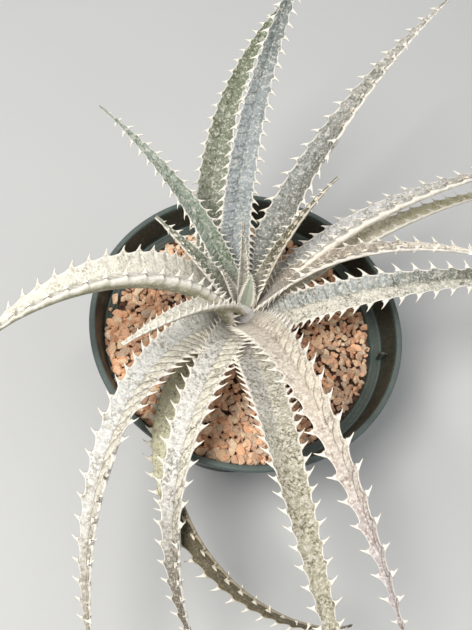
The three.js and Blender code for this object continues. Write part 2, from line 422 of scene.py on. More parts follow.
class Effect:
    """A shader effect that several materials share, as a node group with named sockets."""

    def __init__(self, name: str, inputs: dict[str, Optional[float]], outputs: Sequence[str]) -> None:
        """Makes the group.

        Args:
            name: The group's name.
            inputs: Each input's name and usual value; None stands for a vector.
            outputs: The outputs' names, all of them values.
        """
        self.tree = bpy.data.node_groups.new(name, "ShaderNodeTree")
        sockets = self.tree.interface
        for label, value in inputs.items():
            kind = "NodeSocketVector" if value is None else "NodeSocketFloat"
            socket = sockets.new_socket(label, in_out="INPUT", socket_type=kind)
            if value is not None:
                socket.default_value = value
        for label in outputs:
            sockets.new_socket(label, in_out="OUTPUT", socket_type="NodeSocketFloat")
        self.graph = Graph(self.tree)
        self.given = self.graph.add("NodeGroupInput").outputs
        self.result = self.graph.add("NodeGroupOutput").inputs

    def give(self, label: str, value: Value) -> None:
        """Feeds one of the group's outputs."""
        self.graph.feed(self.result[label], value)


@dataclass(frozen=True)
class Mottle:
    """Broad patches and small specks of two sizes, for scurf, brick and worn plastic."""

    middle_scale: float = 3.8
    grain_scale: float = 2.2
    patches: Ramp = Ramp(0.42, 0.64)
    blotches: Ramp = Ramp(0.45, 0.58)
    specks: Ramp = Ramp(0.53, 0.63)
    flecks: Ramp = Ramp(0.46, 0.33)

    def build(self) -> bpy.types.NodeTree:
        """Builds the node group.

        Returns:
            The group.
        """
        inputs = {"Vector": None, "Patch": 1.0, "Speck": 1.0}
        effect = Effect("mottle", inputs, ("Patches", "Blotches", "Specks", "Flecks", "Grain"))
        graph, given = effect.graph, effect.given
        place, patch, speck = given["Vector"], given["Patch"], given["Speck"]
        broad = graph.noise(place, patch, detail=4.0, rough=0.6)
        middle = graph.noise(place, graph.times(patch, self.middle_scale), detail=3.0, rough=0.62)
        fine = graph.noise(place, speck, detail=2.0, rough=0.6)
        grain = graph.noise(place, graph.times(speck, self.grain_scale), detail=2.0, rough=0.7)
        effect.give("Patches", graph.ease(broad, self.patches))
        effect.give("Blotches", graph.ease(middle, self.blotches))
        effect.give("Specks", graph.ease(fine, self.specks))
        effect.give("Flecks", graph.ease(fine, self.flecks))
        effect.give("Grain", grain)
        return effect.tree


@dataclass(frozen=True)
class Imprint:
    """The row of raised cushions that runs along one half of a blade, one for each tooth.

    Cushion is 1 on each cushion, Groove 1 between them, and the third output 1 on the fine crease
    round each cushion's crown side, where the leaves get a dark line of painted shade over the faint
    imprint. A cushion's outline is a rounded box: two powers of the distances from its middle, which
    reach 1 together on its edge. The count of teeth is moved ahead to keep it above zero, and by the
    half more that puts each tooth in the middle of a cushion.
    """

    middle: float = 0.5
    sway: float = 0.6
    sway_across: float = 0.4
    ahead: float = 100.5
    power_along: float = 2.6
    power_across: float = 3.2
    inside: Ramp = Ramp(1.3, 0.9)
    cushion: Ramp = Ramp(1.05, 0.35)
    groove: Ramp = Ramp(0.7, 1.15)
    rim: float = 0.85
    rim_width: Ramp = Ramp(0.16, 0.03)
    crownward: Ramp = Ramp(0.8, 0.4)
    broken: Ramp = Ramp(0.62, 0.42, 0.25, 1.0)

    def build(self) -> bpy.types.NodeTree:
        """Builds the node group.

        Returns:
            The group.
        """
        inputs = {"Across": 0.0, "Tooth": 0.0, "Wander": 0.0, "Slant": 0.0}
        effect = Effect("imprint", inputs, ("Cushion", "Groove", "Line"))
        graph, given = effect.graph, effect.given
        sway = graph.times(graph.minus(given["Wander"], self.middle), self.sway)
        across = graph.plus(given["Across"], graph.times(sway, self.sway_across))
        outward = graph.times(given["Slant"], graph.plus(across, 1.0))
        slid = graph.plus(graph.plus(given["Tooth"], outward), sway)
        phase = graph.math("FRACT", graph.plus(slid, self.ahead))
        along = graph.size(graph.times(graph.minus(phase, self.middle), 2.0))
        side = graph.size(graph.math("DIVIDE", graph.plus(across, self.middle), self.middle))
        reach = graph.plus(
            graph.math("POWER", along, self.power_along), graph.math("POWER", side, self.power_across)
        )
        inside = graph.ease(side, self.inside)
        rim = graph.ease(graph.size(graph.minus(reach, self.rim)), self.rim_width)
        broken = graph.ease(given["Wander"], self.broken)
        # The crease line on each cushion's crown side, which the leaves' paint darkens as painted shade.
        crease_shade = graph.times(rim, graph.times(inside, broken))
        effect.give("Cushion", graph.ease(reach, self.cushion))
        effect.give("Groove", graph.times(graph.ease(reach, self.groove), inside))
        effect.give("Line", graph.times(crease_shade, graph.ease(phase, self.crownward)))
        return effect.tree


@dataclass(frozen=True)
class Wear:
    """Dust that lies on level faces."""

    blotch_scale: float = 60.0
    level: Ramp = Ramp(0.4, 0.95)
    blotch: Ramp = Ramp(0.3, 0.75, 0.35, 1.0)

    def build(self) -> bpy.types.NodeTree:
        """Builds the node group.

        Returns:
            The group.
        """
        effect = Effect("wear", {"Vector": None, "Upward": 0.0}, ("Dust",))
        graph, given = effect.graph, effect.given
        blotch = graph.noise(given["Vector"], self.blotch_scale, detail=5.0, rough=0.65)
        level = graph.ease(given["Upward"], self.level)
        effect.give("Dust", graph.times(level, graph.ease(blotch, self.blotch)))
        return effect.tree


IMPRINT = Imprint()


@dataclass
class Effects:
    """The shared effects, built once."""

    mottle: bpy.types.NodeTree = field(default_factory=Mottle().build)
    imprint: bpy.types.NodeTree = field(default_factory=IMPRINT.build)
    wear: bpy.types.NodeTree = field(default_factory=Wear().build)


def start_material(name: str) -> tuple[bpy.types.Material, Graph, bpy.types.Node]:
    """Starts a material.

    Args:
        name: The material's name.

    Returns:
        The material, its graph and its shader.
    """
    made = bpy.data.materials.new(name)
    made.use_nodes = True
    return made, Graph(made.node_tree), made.node_tree.nodes["Principled BSDF"]


# ---------------------------------------------------------------- finishes


@dataclass(frozen=True)
class LeafFinish:
    """Colours of one kind of leaf, and how strongly each mark shows on it.

    The tone turns from near to far over the distances in turn, in metres from the root, but less so
    on the cushioned half as far as it is spared.
    """

    near: Shade
    far: Shade
    lobe: Shade
    skin: Shade
    under: Shade
    turn: tuple[float, float] = (0.09, 0.2)
    worn: float = 0.62
    speck: float = 0.6
    relief: float = 0.5
    raised: float = 0.25
    slant: float = -0.2
    # line: how strongly the painted shade in the cushions' grooves and crown-side creases shows.
    line: float = 0.5
    streaked: float = 0.0
    spared: float = 0.0
    heart: Shade = (176, 171, 163)
    edge: Shade = (250, 244, 232)
    thorn: Shade = (250, 243, 228)
    thorn_tip: Shade = (226, 198, 160)


@dataclass(frozen=True)
class LeafMarks:
    """Where the marks that all the leaves share begin and end, and how strongly they show.

    Places across the blade run from -1 to 1, and on to 2 at a spine's point. Places along it are in
    metres from the root. A share is how much of a mark shows where it is strongest.
    """

    patch_scale: float = 95.0
    speck_scale: float = 760.0
    wander_scale: float = 150.0
    wander_middle: float = 0.5
    chalk_scale: float = 330.0
    lobe: Ramp = Ramp(0.06, -0.16)
    lobe_share: float = 0.55
    cushion_share: float = 0.45
    ageing_wander: float = 0.05
    spared_side: tuple[float, float] = (0.0, 0.25)
    # The grooves and creases round the cushions are darkened towards the skin: painted shade of the low
    # relief, over faint imprint marks.
    crease_shade_tone: float = 0.3
    groove_shade_share: float = 0.55
    dash_stretch: tuple[float, float] = (2.2, 620.0)
    dashes: Ramp = Ramp(0.55, 0.7)
    dash_share: float = 0.55
    bare_in_patches: tuple[float, float] = (0.45, 1.0)
    specks_in_patches: tuple[float, float] = (0.3, 1.0)
    fleck_share: float = 0.45
    chalk: Ramp = Ramp(0.53, 0.66)
    chalk_share: float = 0.35
    heart: Ramp = Ramp(0.04, 0.01, 0.0, 0.75)
    streak_stretch: tuple[float, float] = (9.0, 30.0)
    streak_scale: float = 2.2
    streaks: Ramp = Ramp(0.4, 0.62)
    streaks_under: Ramp = Ramp(0.4, 0.65)
    under_streak_share: float = 0.5
    under_bare_share: float = 0.5
    under_dash_share: float = 0.4
    under_chalk_share: float = 0.4
    margin_wander: float = 0.14
    margin: Ramp = Ramp(0.86, 0.98)
    margin_share: float = 0.85
    thorn: Ramp = Ramp(1.02, 1.2)
    thorn_tip: Ramp = Ramp(1.7, 2.0)
    thorn_tip_share: float = 0.45
    groove_depth: float = 0.5
    cushion_height: float = 0.0006
    blotch_bump: tuple[float, float] = (0.4, 0.0004)
    grain_bump: tuple[float, float] = (0.4, 0.00025)
    roughness: tuple[float, float] = (0.88, 0.6)
    specular: float = 0.35
    sheen: float = 0.1
    sheen_roughness: float = 0.5


class LeafPaint:
    """The material of one kind of leaf, laid on coat by coat."""

    def __init__(self, name: str, finish: LeafFinish, effects: Effects) -> None:
        """Starts the material and works out the masks that its coats share.

        Args:
            name: The material's name.
            finish: The kind's colours and strengths.
            effects: The shared effects.
        """
        self.finish, self.marks = finish, LeafMarks()
        self.material, self.graph, self.shader = start_material(name)
        graph, marks = self.graph, self.marks
        self.across, tooth, self.along = graph.split(graph.attribute("blade", "Vector"))
        self.out = graph.size(self.across)
        self.beneath = graph.attribute("beneath", "Fac")
        place = graph.place()
        scales = {"Vector": place, "Patch": marks.patch_scale, "Speck": marks.speck_scale}
        self.mottle = graph.use(effects.mottle, scales)
        wander = graph.noise(place, marks.wander_scale, detail=3.0, rough=0.55)
        self.wander = graph.minus(wander, marks.wander_middle)
        cells = {"Across": self.across, "Tooth": tooth, "Wander": wander, "Slant": finish.slant}
        self.cells = graph.use(effects.imprint, cells)
        outer = graph.plus(self.along, graph.times(self.wander, marks.ageing_wander))
        self.aged = graph.ease(outer, Ramp(*finish.turn))
        self.bare = self.in_patches("Blotches", marks.bare_in_patches)
        dashes = graph.noise(self.stretched(marks.dash_stretch), 1.0, detail=3.0, rough=0.6)
        self.dashes = graph.ease(dashes, marks.dashes)
        self.streak = graph.noise(
            self.stretched(marks.streak_stretch), marks.streak_scale, detail=4.0, rough=0.65
        )
        chalk = graph.noise(place, marks.chalk_scale, detail=3.0, rough=0.6)
        self.chalk = graph.ease(chalk, marks.chalk)

    def stretched(self, by: tuple[float, float]) -> Socket:
        """The place on the blade, stretched across and along it for dashes and streaks."""
        return self.graph.pair(self.graph.times(self.across, by[0]), self.graph.times(self.along, by[1]))

    def in_patches(self, mark: str, shares: tuple[float, float]) -> Socket:
        """One of the mottle's marks, weaker outside its patches and stronger inside them."""
        return self.graph.times(self.mottle[mark], self.graph.fade(self.mottle["Patches"], *shares))

    def scurf(self) -> Socket:
        """Scurf from the crown to the tip, with the cushioned half in its own tone.

        Returns:
            The colour.
        """
        graph, finish, marks = self.graph, self.finish, self.marks
        near, skin = linear(*finish.near), linear(*finish.skin)
        lobed = graph.times(graph.ease(self.across, marks.lobe), marks.lobe_share)
        raised = graph.plus(lobed, graph.times(self.cells["Cushion"], marks.cushion_share))
        tone = graph.mix(raised, near, linear(*finish.lobe))
        spared = graph.ease(self.across, Ramp(*marks.spared_side, 1.0, 1 - finish.spared))
        tone = graph.lay(linear(*finish.far), tone, self.aged, spared)
        # Painted shade: the grooves and the crease on each cushion's crown side are darkened towards the
        # skin, over faint imprint marks.
        share = marks.crease_shade_tone
        crease_shade = tuple(share * a + (1 - share) * b for a, b in zip(near, skin))
        tone = graph.lay(crease_shade, tone, self.cells["Groove"], finish.line * marks.groove_shade_share)
        return graph.lay(crease_shade, tone, self.cells["Line"], finish.line)

    def worn(self, tone: Socket) -> Socket:
        """Wears the scurf through to the leaf's own skin, in patches, dashes, specks and streaks.

        Args:
            tone: The scurf's colour.

        Returns:
            The colour, with pale chalk over it.
        """
        graph, finish, marks = self.graph, self.finish, self.marks
        skin, pale = linear(*finish.skin), linear(*finish.edge)
        specks = self.in_patches("Specks", marks.specks_in_patches)
        tone = graph.lay(skin, tone, self.bare, finish.worn)
        tone = graph.lay(skin, tone, self.dashes, finish.worn * marks.dash_share)
        tone = graph.lay(skin, tone, specks, finish.speck)
        tone = graph.lay(pale, tone, self.mottle["Flecks"], marks.fleck_share)
        tone = graph.lay(pale, tone, self.chalk, marks.chalk_share)
        tone = graph.mix(graph.ease(self.along, marks.heart), tone, linear(*finish.heart))
        aged = graph.times(self.aged, finish.streaked)
        return graph.lay(skin, tone, graph.ease(self.streak, marks.streaks), aged)

    def underside(self) -> Socket:
        """The streaked scurf of the underside.

        Returns:
            The colour.
        """
        graph, marks = self.graph, self.marks
        skin, pale = linear(*self.finish.skin), linear(*self.finish.edge)
        streaks = graph.ease(self.streak, marks.streaks_under)
        tone = graph.lay(skin, linear(*self.finish.under), streaks, marks.under_streak_share)
        tone = graph.lay(skin, tone, self.bare, marks.under_bare_share)
        tone = graph.lay(skin, tone, self.dashes, marks.under_dash_share)
        return graph.lay(pale, tone, self.chalk, marks.under_chalk_share)

    def edged(self, tone: Socket) -> Socket:
        """Adds the pale, ragged margin and the spines.

        Args:
            tone: The blade's colour.

        Returns:
            The colour.
        """
        graph, finish, marks = self.graph, self.finish, self.marks
        ragged = graph.plus(self.out, graph.times(self.wander, marks.margin_wander))
        tone = graph.lay(linear(*finish.edge), tone, graph.ease(ragged, marks.margin), marks.margin_share)
        tone = graph.mix(graph.ease(self.out, marks.thorn), tone, linear(*finish.thorn))
        tips = graph.ease(self.out, marks.thorn_tip)
        return graph.lay(linear(*finish.thorn_tip), tone, tips, marks.thorn_tip_share)

    def relief(self) -> Socket:
        """Low relief from the cushions, then the mealy grain of the scurf.

        Returns:
            The normal.
        """
        graph, marks = self.graph, self.marks
        grooves = graph.times(self.cells["Groove"], marks.groove_depth)
        cushion = graph.minus(self.cells["Cushion"], grooves)
        upper = graph.math("SUBTRACT", 1.0, self.beneath, clamp=True)
        normal = graph.bump(graph.times(cushion, upper), self.finish.relief, marks.cushion_height)
        normal = graph.bump(self.mottle["Blotches"], *marks.blotch_bump, normal)
        return graph.bump(self.mottle["Grain"], *marks.grain_bump, normal)

    def finished(self) -> bpy.types.Material:
        """Lays on all the coats.

        Returns:
            The material, which reads the piece's blade and beneath attributes.
        """
        graph, marks, shader = self.graph, self.marks, self.shader
        tone = graph.mix(self.beneath, self.worn(self.scurf()), self.underside())
        graph.feed(shader.inputs["Base Color"], self.edged(tone))
        graph.feed(shader.inputs["Normal"], self.relief())
        graph.feed(shader.inputs["Roughness"], graph.fade(self.mottle["Blotches"], *marks.roughness))
        shader.inputs["Specular IOR Level"].default_value = marks.specular
        shader.inputs["Sheen Weight"].default_value = marks.sheen
        shader.inputs["Sheen Roughness"].default_value = marks.sheen_roughness
        return self.material


class LeafKind(Enum):
    """The kinds of leaf in this rosette: near and far tones, cushions, bare skin, underside."""

    SILVER = LeafFinish(
        (164, 171, 172), (120, 126, 122), (170, 178, 180), (96, 102, 94), (190, 186, 170),
        worn=0.47, line=0.45,
    )
    STONE = LeafFinish(
        (128, 129, 123), (184, 180, 170), (146, 149, 145), (92, 92, 80), (206, 198, 178),
        line=0.6,
    )
    ASHEN = LeafFinish(
        (222, 217, 202), (122, 122, 108), (178, 183, 180), (70, 70, 50), (216, 208, 186),
        turn=(0.07, 0.16), spared=0.6, relief=0.8, worn=0.52, speck=0.7, line=0.85,
    )
    OLIVE = LeafFinish(
        (136, 142, 124), (124, 132, 106), (148, 152, 134), (80, 84, 54), (170, 160, 130),
        worn=0.52, line=0.5,
    )
    MOSS = LeafFinish(
        (142, 154, 136), (162, 170, 158), (150, 162, 148), (82, 96, 68), (172, 172, 146),
        turn=(0.04, 0.13), worn=0.57, line=0.4,
    )
    HEART = LeafFinish(
        (166, 162, 150), (176, 170, 156), (176, 172, 162), (108, 104, 86), (186, 180, 164),
        worn=0.42, line=0.4,
    )
    CHALK = LeafFinish(
        (226, 226, 222), (172, 162, 146), (236, 230, 212), (138, 128, 106), (204, 202, 176),
        turn=(0.14, 0.26), relief=1.0, raised=0.6, slant=-1.0, line=0.45,
    )
    BLUSH = LeafFinish(
        (220, 208, 190), (184, 176, 176), (232, 222, 200), (138, 114, 100), (226, 216, 200),
        turn=(0.13, 0.24), relief=0.9, raised=0.5, slant=-1.0, line=0.5,
    )
    FRECKLE = LeafFinish(
        (208, 206, 200), (186, 180, 158), (210, 206, 188), (102, 94, 70), (208, 200, 170),
        turn=(0.05, 0.16), worn=0.77, speck=0.95, line=0.3,
    )
    CREAM = LeafFinish(
        (184, 182, 174), (236, 231, 216), (200, 200, 186), (116, 112, 86), (168, 166, 136),
        turn=(0.02, 0.08), worn=0.37, speck=0.45, raised=0.4, slant=-0.7, line=0.4,
    )
    BRONZE = LeafFinish(
        (160, 150, 136), (232, 224, 208), (168, 156, 140), (100, 86, 68), (206, 196, 172),
        turn=(0.07, 0.14), worn=0.57, line=0.45,
    )
    LILAC = LeafFinish(
        (206, 203, 195), (172, 168, 158), (198, 198, 196), (112, 106, 92), (242, 234, 210),
        worn=0.52, line=0.6,
    )
    LIME = LeafFinish(
        (240, 232, 210), (204, 198, 160), (240, 232, 208), (150, 142, 98), (226, 218, 180),
        turn=(0.1, 0.16), worn=0.52, line=0.1,
    )
    DUSKY = LeafFinish(
        (106, 102, 84), (102, 96, 78), (114, 110, 92), (72, 68, 50), (116, 108, 88),
        edge=(232, 222, 200), worn=0.5, line=0.5,
    )
    DRIED = LeafFinish(
        (228, 226, 220), (122, 114, 100), (240, 234, 214), (100, 90, 72), (180, 176, 150),
        turn=(0.11, 0.2), worn=0.65, relief=1.0, raised=0.6, slant=-1.0, line=0.45,
    )
    BUD = LeafFinish(
        (188, 196, 178), (196, 204, 188), (188, 196, 178), (136, 144, 118), (184, 188, 170),
        edge=(216, 216, 200), worn=0.3, speck=0.35, line=0.2, heart=(170, 176, 160),
    )
    UMBER = LeafFinish(
        (220, 218, 188), (112, 102, 80), (220, 218, 188), (66, 60, 44), (120, 108, 84),
        edge=(180, 168, 142), turn=(0.115, 0.15), worn=0.37, line=0.1, streaked=0.85,
    )

    def material(self, effects: Effects) -> bpy.types.Material:
        """Builds the kind's material."""
        return LeafPaint(f"leaf_{self.name.lower()}", self.value, effects).finished()


@dataclass(frozen=True)
class PotPlastic:
    """Dark grey-green moulded plastic with a lighter lip, painted shade inside the collar and a painted
    highlight on the ledge's bead.

    Places are in metres: heights over the floor, and distances from the pot's axis.
    """

    body: Shade = (58, 71, 68)
    cloud: Shade = (60, 70, 66)
    # The lip's lighter grey-green, also laid on the bead as a painted highlight.
    rim: Shade = (78, 93, 91)
    # Painted shade on the collar's inside, above the ledge.
    inside_shade: Shade = (39, 38, 28)
    dust: Shade = (140, 138, 124)
    patch_scale: float = 45.0
    speck_scale: float = 500.0
    cloud_share: float = 0.35
    lip_height: Ramp = Ramp(0.1005, 0.1025)
    lip_radius: Ramp = Ramp(0.0945, 0.0962)
    lip_shares: tuple[float, float] = (0.95, 0.75)
    # Where the painted shade on the collar's inside lies, and how strongly it shows.
    inside_height: Ramp = Ramp(0.093, 0.0945)
    inside_radius: Ramp = Ramp(0.0968, 0.0955)
    inside_shade_share: float = 0.85
    # Where the painted highlight on the bead at the ledge's foot lies, and how strongly it shows.
    bead_inner: Ramp = Ramp(0.0886, 0.089)
    bead_outer: Ramp = Ramp(0.0906, 0.0902)
    bead_height: Ramp = Ramp(0.092, 0.0924)
    bead_highlight_share: float = 0.6
    dust_share: float = 0.22
    speck_share: float = 0.1
    roughness: tuple[float, float] = (0.42, 0.6)
    grain_bump: tuple[float, float] = (0.2, 0.0001)
    specular: float = 0.4

    def material(self, effects: Effects) -> bpy.types.Material:
        """Builds the plastic's material.

        Args:
            effects: The shared effects.

        Returns:
            The material.
        """
        made, graph, shader = start_material("nursery_pot_plastic")
        place = graph.place()
        x, y, z = graph.split(place)
        squares = graph.plus(graph.math("POWER", x, 2.0), graph.math("POWER", y, 2.0))
        radius = graph.math("SQRT", squares)
        upward = graph.split(graph.add("ShaderNodeNewGeometry").outputs["Normal"])[2]
        scales = {"Vector": place, "Patch": self.patch_scale, "Speck": self.speck_scale}
        marks = graph.use(effects.mottle, scales)
        wear = graph.use(effects.wear, {"Vector": place, "Upward": upward})

        # Lighter lip; painted shade on the collar's inside; a painted highlight on the bead at its foot.
        lip = graph.times(graph.ease(z, self.lip_height), graph.ease(radius, self.lip_radius))
        inner = graph.times(graph.ease(radius, self.inside_radius), graph.ease(z, self.inside_height))
        bead_highlight = graph.times(graph.ease(radius, self.bead_inner), graph.ease(radius, self.bead_outer))
        bead_highlight = graph.times(bead_highlight, graph.ease(z, self.bead_height))
        rim, dust = linear(*self.rim), linear(*self.dust)
        tone = graph.lay(linear(*self.cloud), linear(*self.body), marks["Patches"], self.cloud_share)
        tone = graph.lay(rim, tone, lip, graph.fade(marks["Patches"], *self.lip_shares))
        tone = graph.lay(linear(*self.inside_shade), tone, inner, self.inside_shade_share)
        tone = graph.lay(rim, tone, bead_highlight, self.bead_highlight_share)
        tone = graph.lay(dust, tone, wear["Dust"], self.dust_share)
        tone = graph.lay(dust, tone, marks["Specks"], self.speck_share)
        graph.feed(shader.inputs["Base Color"], tone)
        graph.feed(shader.inputs["Roughness"], graph.fade(marks["Patches"], *self.roughness))
        graph.feed(shader.inputs["Normal"], graph.bump(marks["Grain"], *self.grain_bump))
        shader.inputs["Specular IOR Level"].default_value = self.specular
        return made


@dataclass(frozen=True)
class CrushedBrick:
    """Crushed brick: every chip has its own tone of salmon, tan or grey-brown."""

    tones: tuple[Shade, ...] = (
        (196, 164, 138),
        (254, 196, 152),
        (228, 184, 150),
        (255, 226, 190),
        (208, 158, 124),
        (246, 206, 168),
        (206, 182, 158),
        (255, 202, 162),
    )
    pit: Shade = (104, 74, 56)
    bloom: Shade = (232, 196, 164)
    patch_scale: float = 240.0
    speck_scale: float = 1500.0
    bloom_share: float = 0.35
    pit_share: float = 0.4
    face_bump: tuple[float, float] = (0.3, 0.0004)
    grain_bump: tuple[float, float] = (0.5, 0.00025)
    roughness: tuple[float, float] = (0.82, 0.95)
    specular: float = 0.3

    def material(self, effects: Effects) -> bpy.types.Material:
        """Builds the chips' material.

        Args:
            effects: The shared effects.

        Returns:
            The material, which reads each chip's stone attribute.
        """
        made, graph, shader = start_material("crushed_brick")
        ramp = graph.add("ShaderNodeValToRGB", {0: graph.attribute("stone", "Fac")})
        ramp.color_ramp.interpolation = "CONSTANT"
        stops = ramp.color_ramp.elements
        # New stops are added in the middle, and then all are placed in order.
        while len(stops) < len(self.tones):
            stops.new(0.5)
        for k, tone in enumerate(self.tones):
            stops[k].position = k / len(self.tones)
            stops[k].color = (*linear(*tone), 1.0)
        scales = {"Vector": graph.place(), "Patch": self.patch_scale, "Speck": self.speck_scale}
        marks = graph.use(effects.mottle, scales)
        tone = graph.lay(linear(*self.bloom), ramp.outputs[0], marks["Patches"], self.bloom_share)
        tone = graph.lay(linear(*self.pit), tone, marks["Specks"], self.pit_share)
        graph.feed(shader.inputs["Base Color"], tone)
        normal = graph.bump(marks["Patches"], *self.face_bump)
        graph.feed(shader.inputs["Normal"], graph.bump(marks["Grain"], *self.grain_bump, normal))
        graph.feed(shader.inputs["Roughness"], graph.fade(marks["Specks"], *self.roughness))
        shader.inputs["Specular IOR Level"].default_value = self.specular
        return made


@dataclass(frozen=True)
class DarkMix:
    """Damp potting mix, or the dry husk of the crown, by its two colours."""

    name: str = "potting_mix"
    dark: Shade = (46, 30, 22)
    light: Shade = (98, 68, 50)
    patch_scale: float = 320.0
    speck_scale: float = 1100.0
    speck_share: float = 0.4
    grain_bump: tuple[float, float] = (0.8, 0.0006)
    roughness: tuple[float, float] = (0.95, 0.85)

    def material(self, effects: Effects) -> bpy.types.Material:
        """Builds a crumbly two-tone material.

        Args:
            effects: The shared effects.

        Returns:
            The material.
        """
        made, graph, shader = start_material(self.name)
        scales = {"Vector": graph.place(), "Patch": self.patch_scale, "Speck": self.speck_scale}
        marks = graph.use(effects.mottle, scales)
        tone = graph.mix(marks["Patches"], linear(*self.dark), linear(*self.light))
        tone = graph.lay(linear(*self.light), tone, marks["Specks"], self.speck_share)
        graph.feed(shader.inputs["Base Color"], tone)
        graph.feed(shader.inputs["Normal"], graph.bump(marks["Grain"], *self.grain_bump))
        graph.feed(shader.inputs["Roughness"], graph.fade(marks["Patches"], *self.roughness))
        return made


# ---------------------------------------------------------------- pot


@dataclass
class NurseryPot:
    """The pot: lip, collar, ledge, tapered wall, flat base, drain holes and a small tab."""

    base_radius: float = 60.0
    wall: float = 2.4
    floor: float = 3.0
    recess: float = 0.8
    recess_edges: tuple[float, float] = (9.0, 7.6)
    shelf_fall: float = 1.0
    lip_width: float = 3.5
    lip_depth: float = 4.0
    lip_overhang: float = 1.6
    lip_chamfer: tuple[float, float] = (0.8, 1.0)
    bead_edges: tuple[float, float, float] = (-0.3, 0.8, 1.1)
    bead_height: float = 0.7
    step_edges: tuple[float, float] = (2.2, 1.7)
    step_depth: float = 0.6
    steps: int = 160
    drains: int = 8
    drain_radius: float = 5.0
    drain_circle: float = 47.0
    drain_sides: int = 32
    drill: float = 20.0
    tab_azimuth: float = 7.0
    tab: tuple[float, float, float] = (6.0, 1.6, 11.0)
    tab_sunk: float = 1.0
    tab_bevel: float = 0.6
    smooth: float = 32.0
    finish: PotPlastic = PotPlastic()

    def profile(self) -> list[tuple[float, float]]:
        """The pot's section, from the axis under the base, round the outside, to the axis inside.

        Returns:
            Radius and height of each point, in millimetres.
        """
        shelf = LEDGE_HEIGHT - self.wall - self.shelf_fall
        lip_foot = POT_HEIGHT - self.lip_depth
        mouth = RIM_RADIUS - self.lip_width
        bead_out, bead_in, bead_foot = (LEDGE_OUTER - edge for edge in self.bead_edges)
        bead_top = LEDGE_HEIGHT + self.bead_height
        step_out, step_in = (LEDGE_INNER + edge for edge in self.step_edges)
        step = LEDGE_HEIGHT - self.step_depth
        # Each row: radius, height, and how much the corner is rounded.
        return rounded(
            [
                (0, self.recess, 0),
                (self.base_radius - self.recess_edges[0], self.recess, 0.4),
                (self.base_radius - self.recess_edges[1], 0, 0.4),
                (self.base_radius, 0, 1.6),
                (LEDGE_INNER + self.wall, shelf - self.shelf_fall, 1.2),
                (LEDGE_OUTER + self.wall, shelf, 1.2),
                (mouth + self.lip_overhang, lip_foot, 0.6),
                (RIM_RADIUS - self.lip_chamfer[0], lip_foot, 0.5),
                (RIM_RADIUS, lip_foot + self.lip_chamfer[1], 0.6),
                (RIM_RADIUS, POT_HEIGHT, 1.3),
                (mouth, POT_HEIGHT, 0.9),
                (bead_out, bead_top, 0.3),
                (bead_in, bead_top, 0.3),
                (bead_foot, LEDGE_HEIGHT, 0.3),
                (step_out, LEDGE_HEIGHT, 0.3),
                (step_in, step, 0.3),
                (LEDGE_INNER, step, 0.8),
                (self.base_radius - self.wall, self.floor, 1.5),
                (0, self.floor, 0),
            ]
        )

    def build(self, effects: Effects) -> list[bpy.types.Object]:
        """Builds the pot.

        Args:
            effects: The shared effects.

        Returns:
            The pot alone, in place of its CAD node.
        """
        pot = spun("nursery_pot", self.profile(), self.steps)
        self.pierce(pot)
        self.add_tab(pot)
        pot.data.materials.append(self.finish.material(effects))
        select_only(pot)
        bpy.ops.object.shade_smooth_by_angle(angle=math.radians(self.smooth))
        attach(pot, "root")
        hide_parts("pot")
        return [pot]

    def pierce(self, pot: bpy.types.Object) -> None:
        """Cuts the drain holes through the base.

        Args:
            pot: The pot.
        """
        size = {"radius": self.drain_radius * MM, "depth": self.drill * MM}
        out = self.drain_circle * MM
        for k in range(self.drains):
            turn = math.tau * k / self.drains
            place = (out * math.cos(turn), out * math.sin(turn), 0)
            deselect()
            bpy.ops.mesh.primitive_cylinder_add(vertices=self.drain_sides, location=place, **size)
            drill = bpy.context.object
            apply_modifier(pot, "BOOLEAN", object=drill, operation="DIFFERENCE", solver="EXACT")
            bpy.data.objects.remove(drill)

    def add_tab(self, pot: bpy.types.Object) -> None:
        """Stands the small moulded tab on the ledge.

        Args:
            pot: The pot that it joins.
        """
        deselect()
        bpy.ops.mesh.primitive_cube_add(size=1)
        tab = bpy.context.object
        tab.scale = [side * MM for side in self.tab]
        bpy.ops.object.transform_apply(location=False, rotation=False, scale=True)
        start_editing(tab)
        bpy.ops.mesh.bevel(offset=self.tab_bevel * MM, segments=3, affect="EDGES")
        bpy.ops.object.mode_set(mode="OBJECT")
        turn = Matrix.Rotation(math.radians(self.tab_azimuth), 4, "Z")
        lift = (LEDGE_HEIGHT - self.tab_sunk + self.tab[2] / 2) * MM
        tab.matrix_world = turn @ Matrix.Translation((LEDGE_OUTER * MM, 0, lift))
        settle(tab)
        join_to(pot, tab)


# ---------------------------------------------------------------- gravel


@dataclass(frozen=True)
class StoneShape:
    """How a stone is cut from a ball, as shares of a chip's size."""

    ball: float = 1.12
    cuts: int = 9
    depth: tuple[float, float] = (0.5, 0.78)
    merged: float = 0.09
    long: float = 1.5
    wide: float = 0.95
    tall: tuple[float, float] = (0.6, 0.85)

    def model(self, draw: np.random.Generator) -> tuple[np.ndarray, list[Face]]:
        """Models one stone: a ball cut down by flat faces.

        Args:
            draw: Random numbers.

        Returns:
            Its points, about 1 across in radius, and its faces.
        """
        deselect()
        bpy.ops.mesh.primitive_ico_sphere_add(subdivisions=1, radius=self.ball)
        stone = bpy.context.object
        start_editing(stone)
        for _ in range(self.cuts):
            way = Vector(draw.normal(size=3)).normalized()
            plane = {"plane_co": way * draw.uniform(*self.depth), "plane_no": way}
            bpy.ops.mesh.select_all(action="SELECT")
            bpy.ops.mesh.bisect(**plane, use_fill=True, clear_outer=True, threshold=1e-4)
        merge_points(self.merged)
        face_outwards()
        points, faces = mesh_arrays(stone.data)
        bpy.data.objects.remove(stone)
        return points * np.array([self.long, self.wide, draw.uniform(*self.tall)]), faces


@dataclass(frozen=True)
class ChipLayer:
    """One layer of chips: its pitch against the first one's, its lift, and how full it is."""

    pitch: float
    lift: float
    filled: float


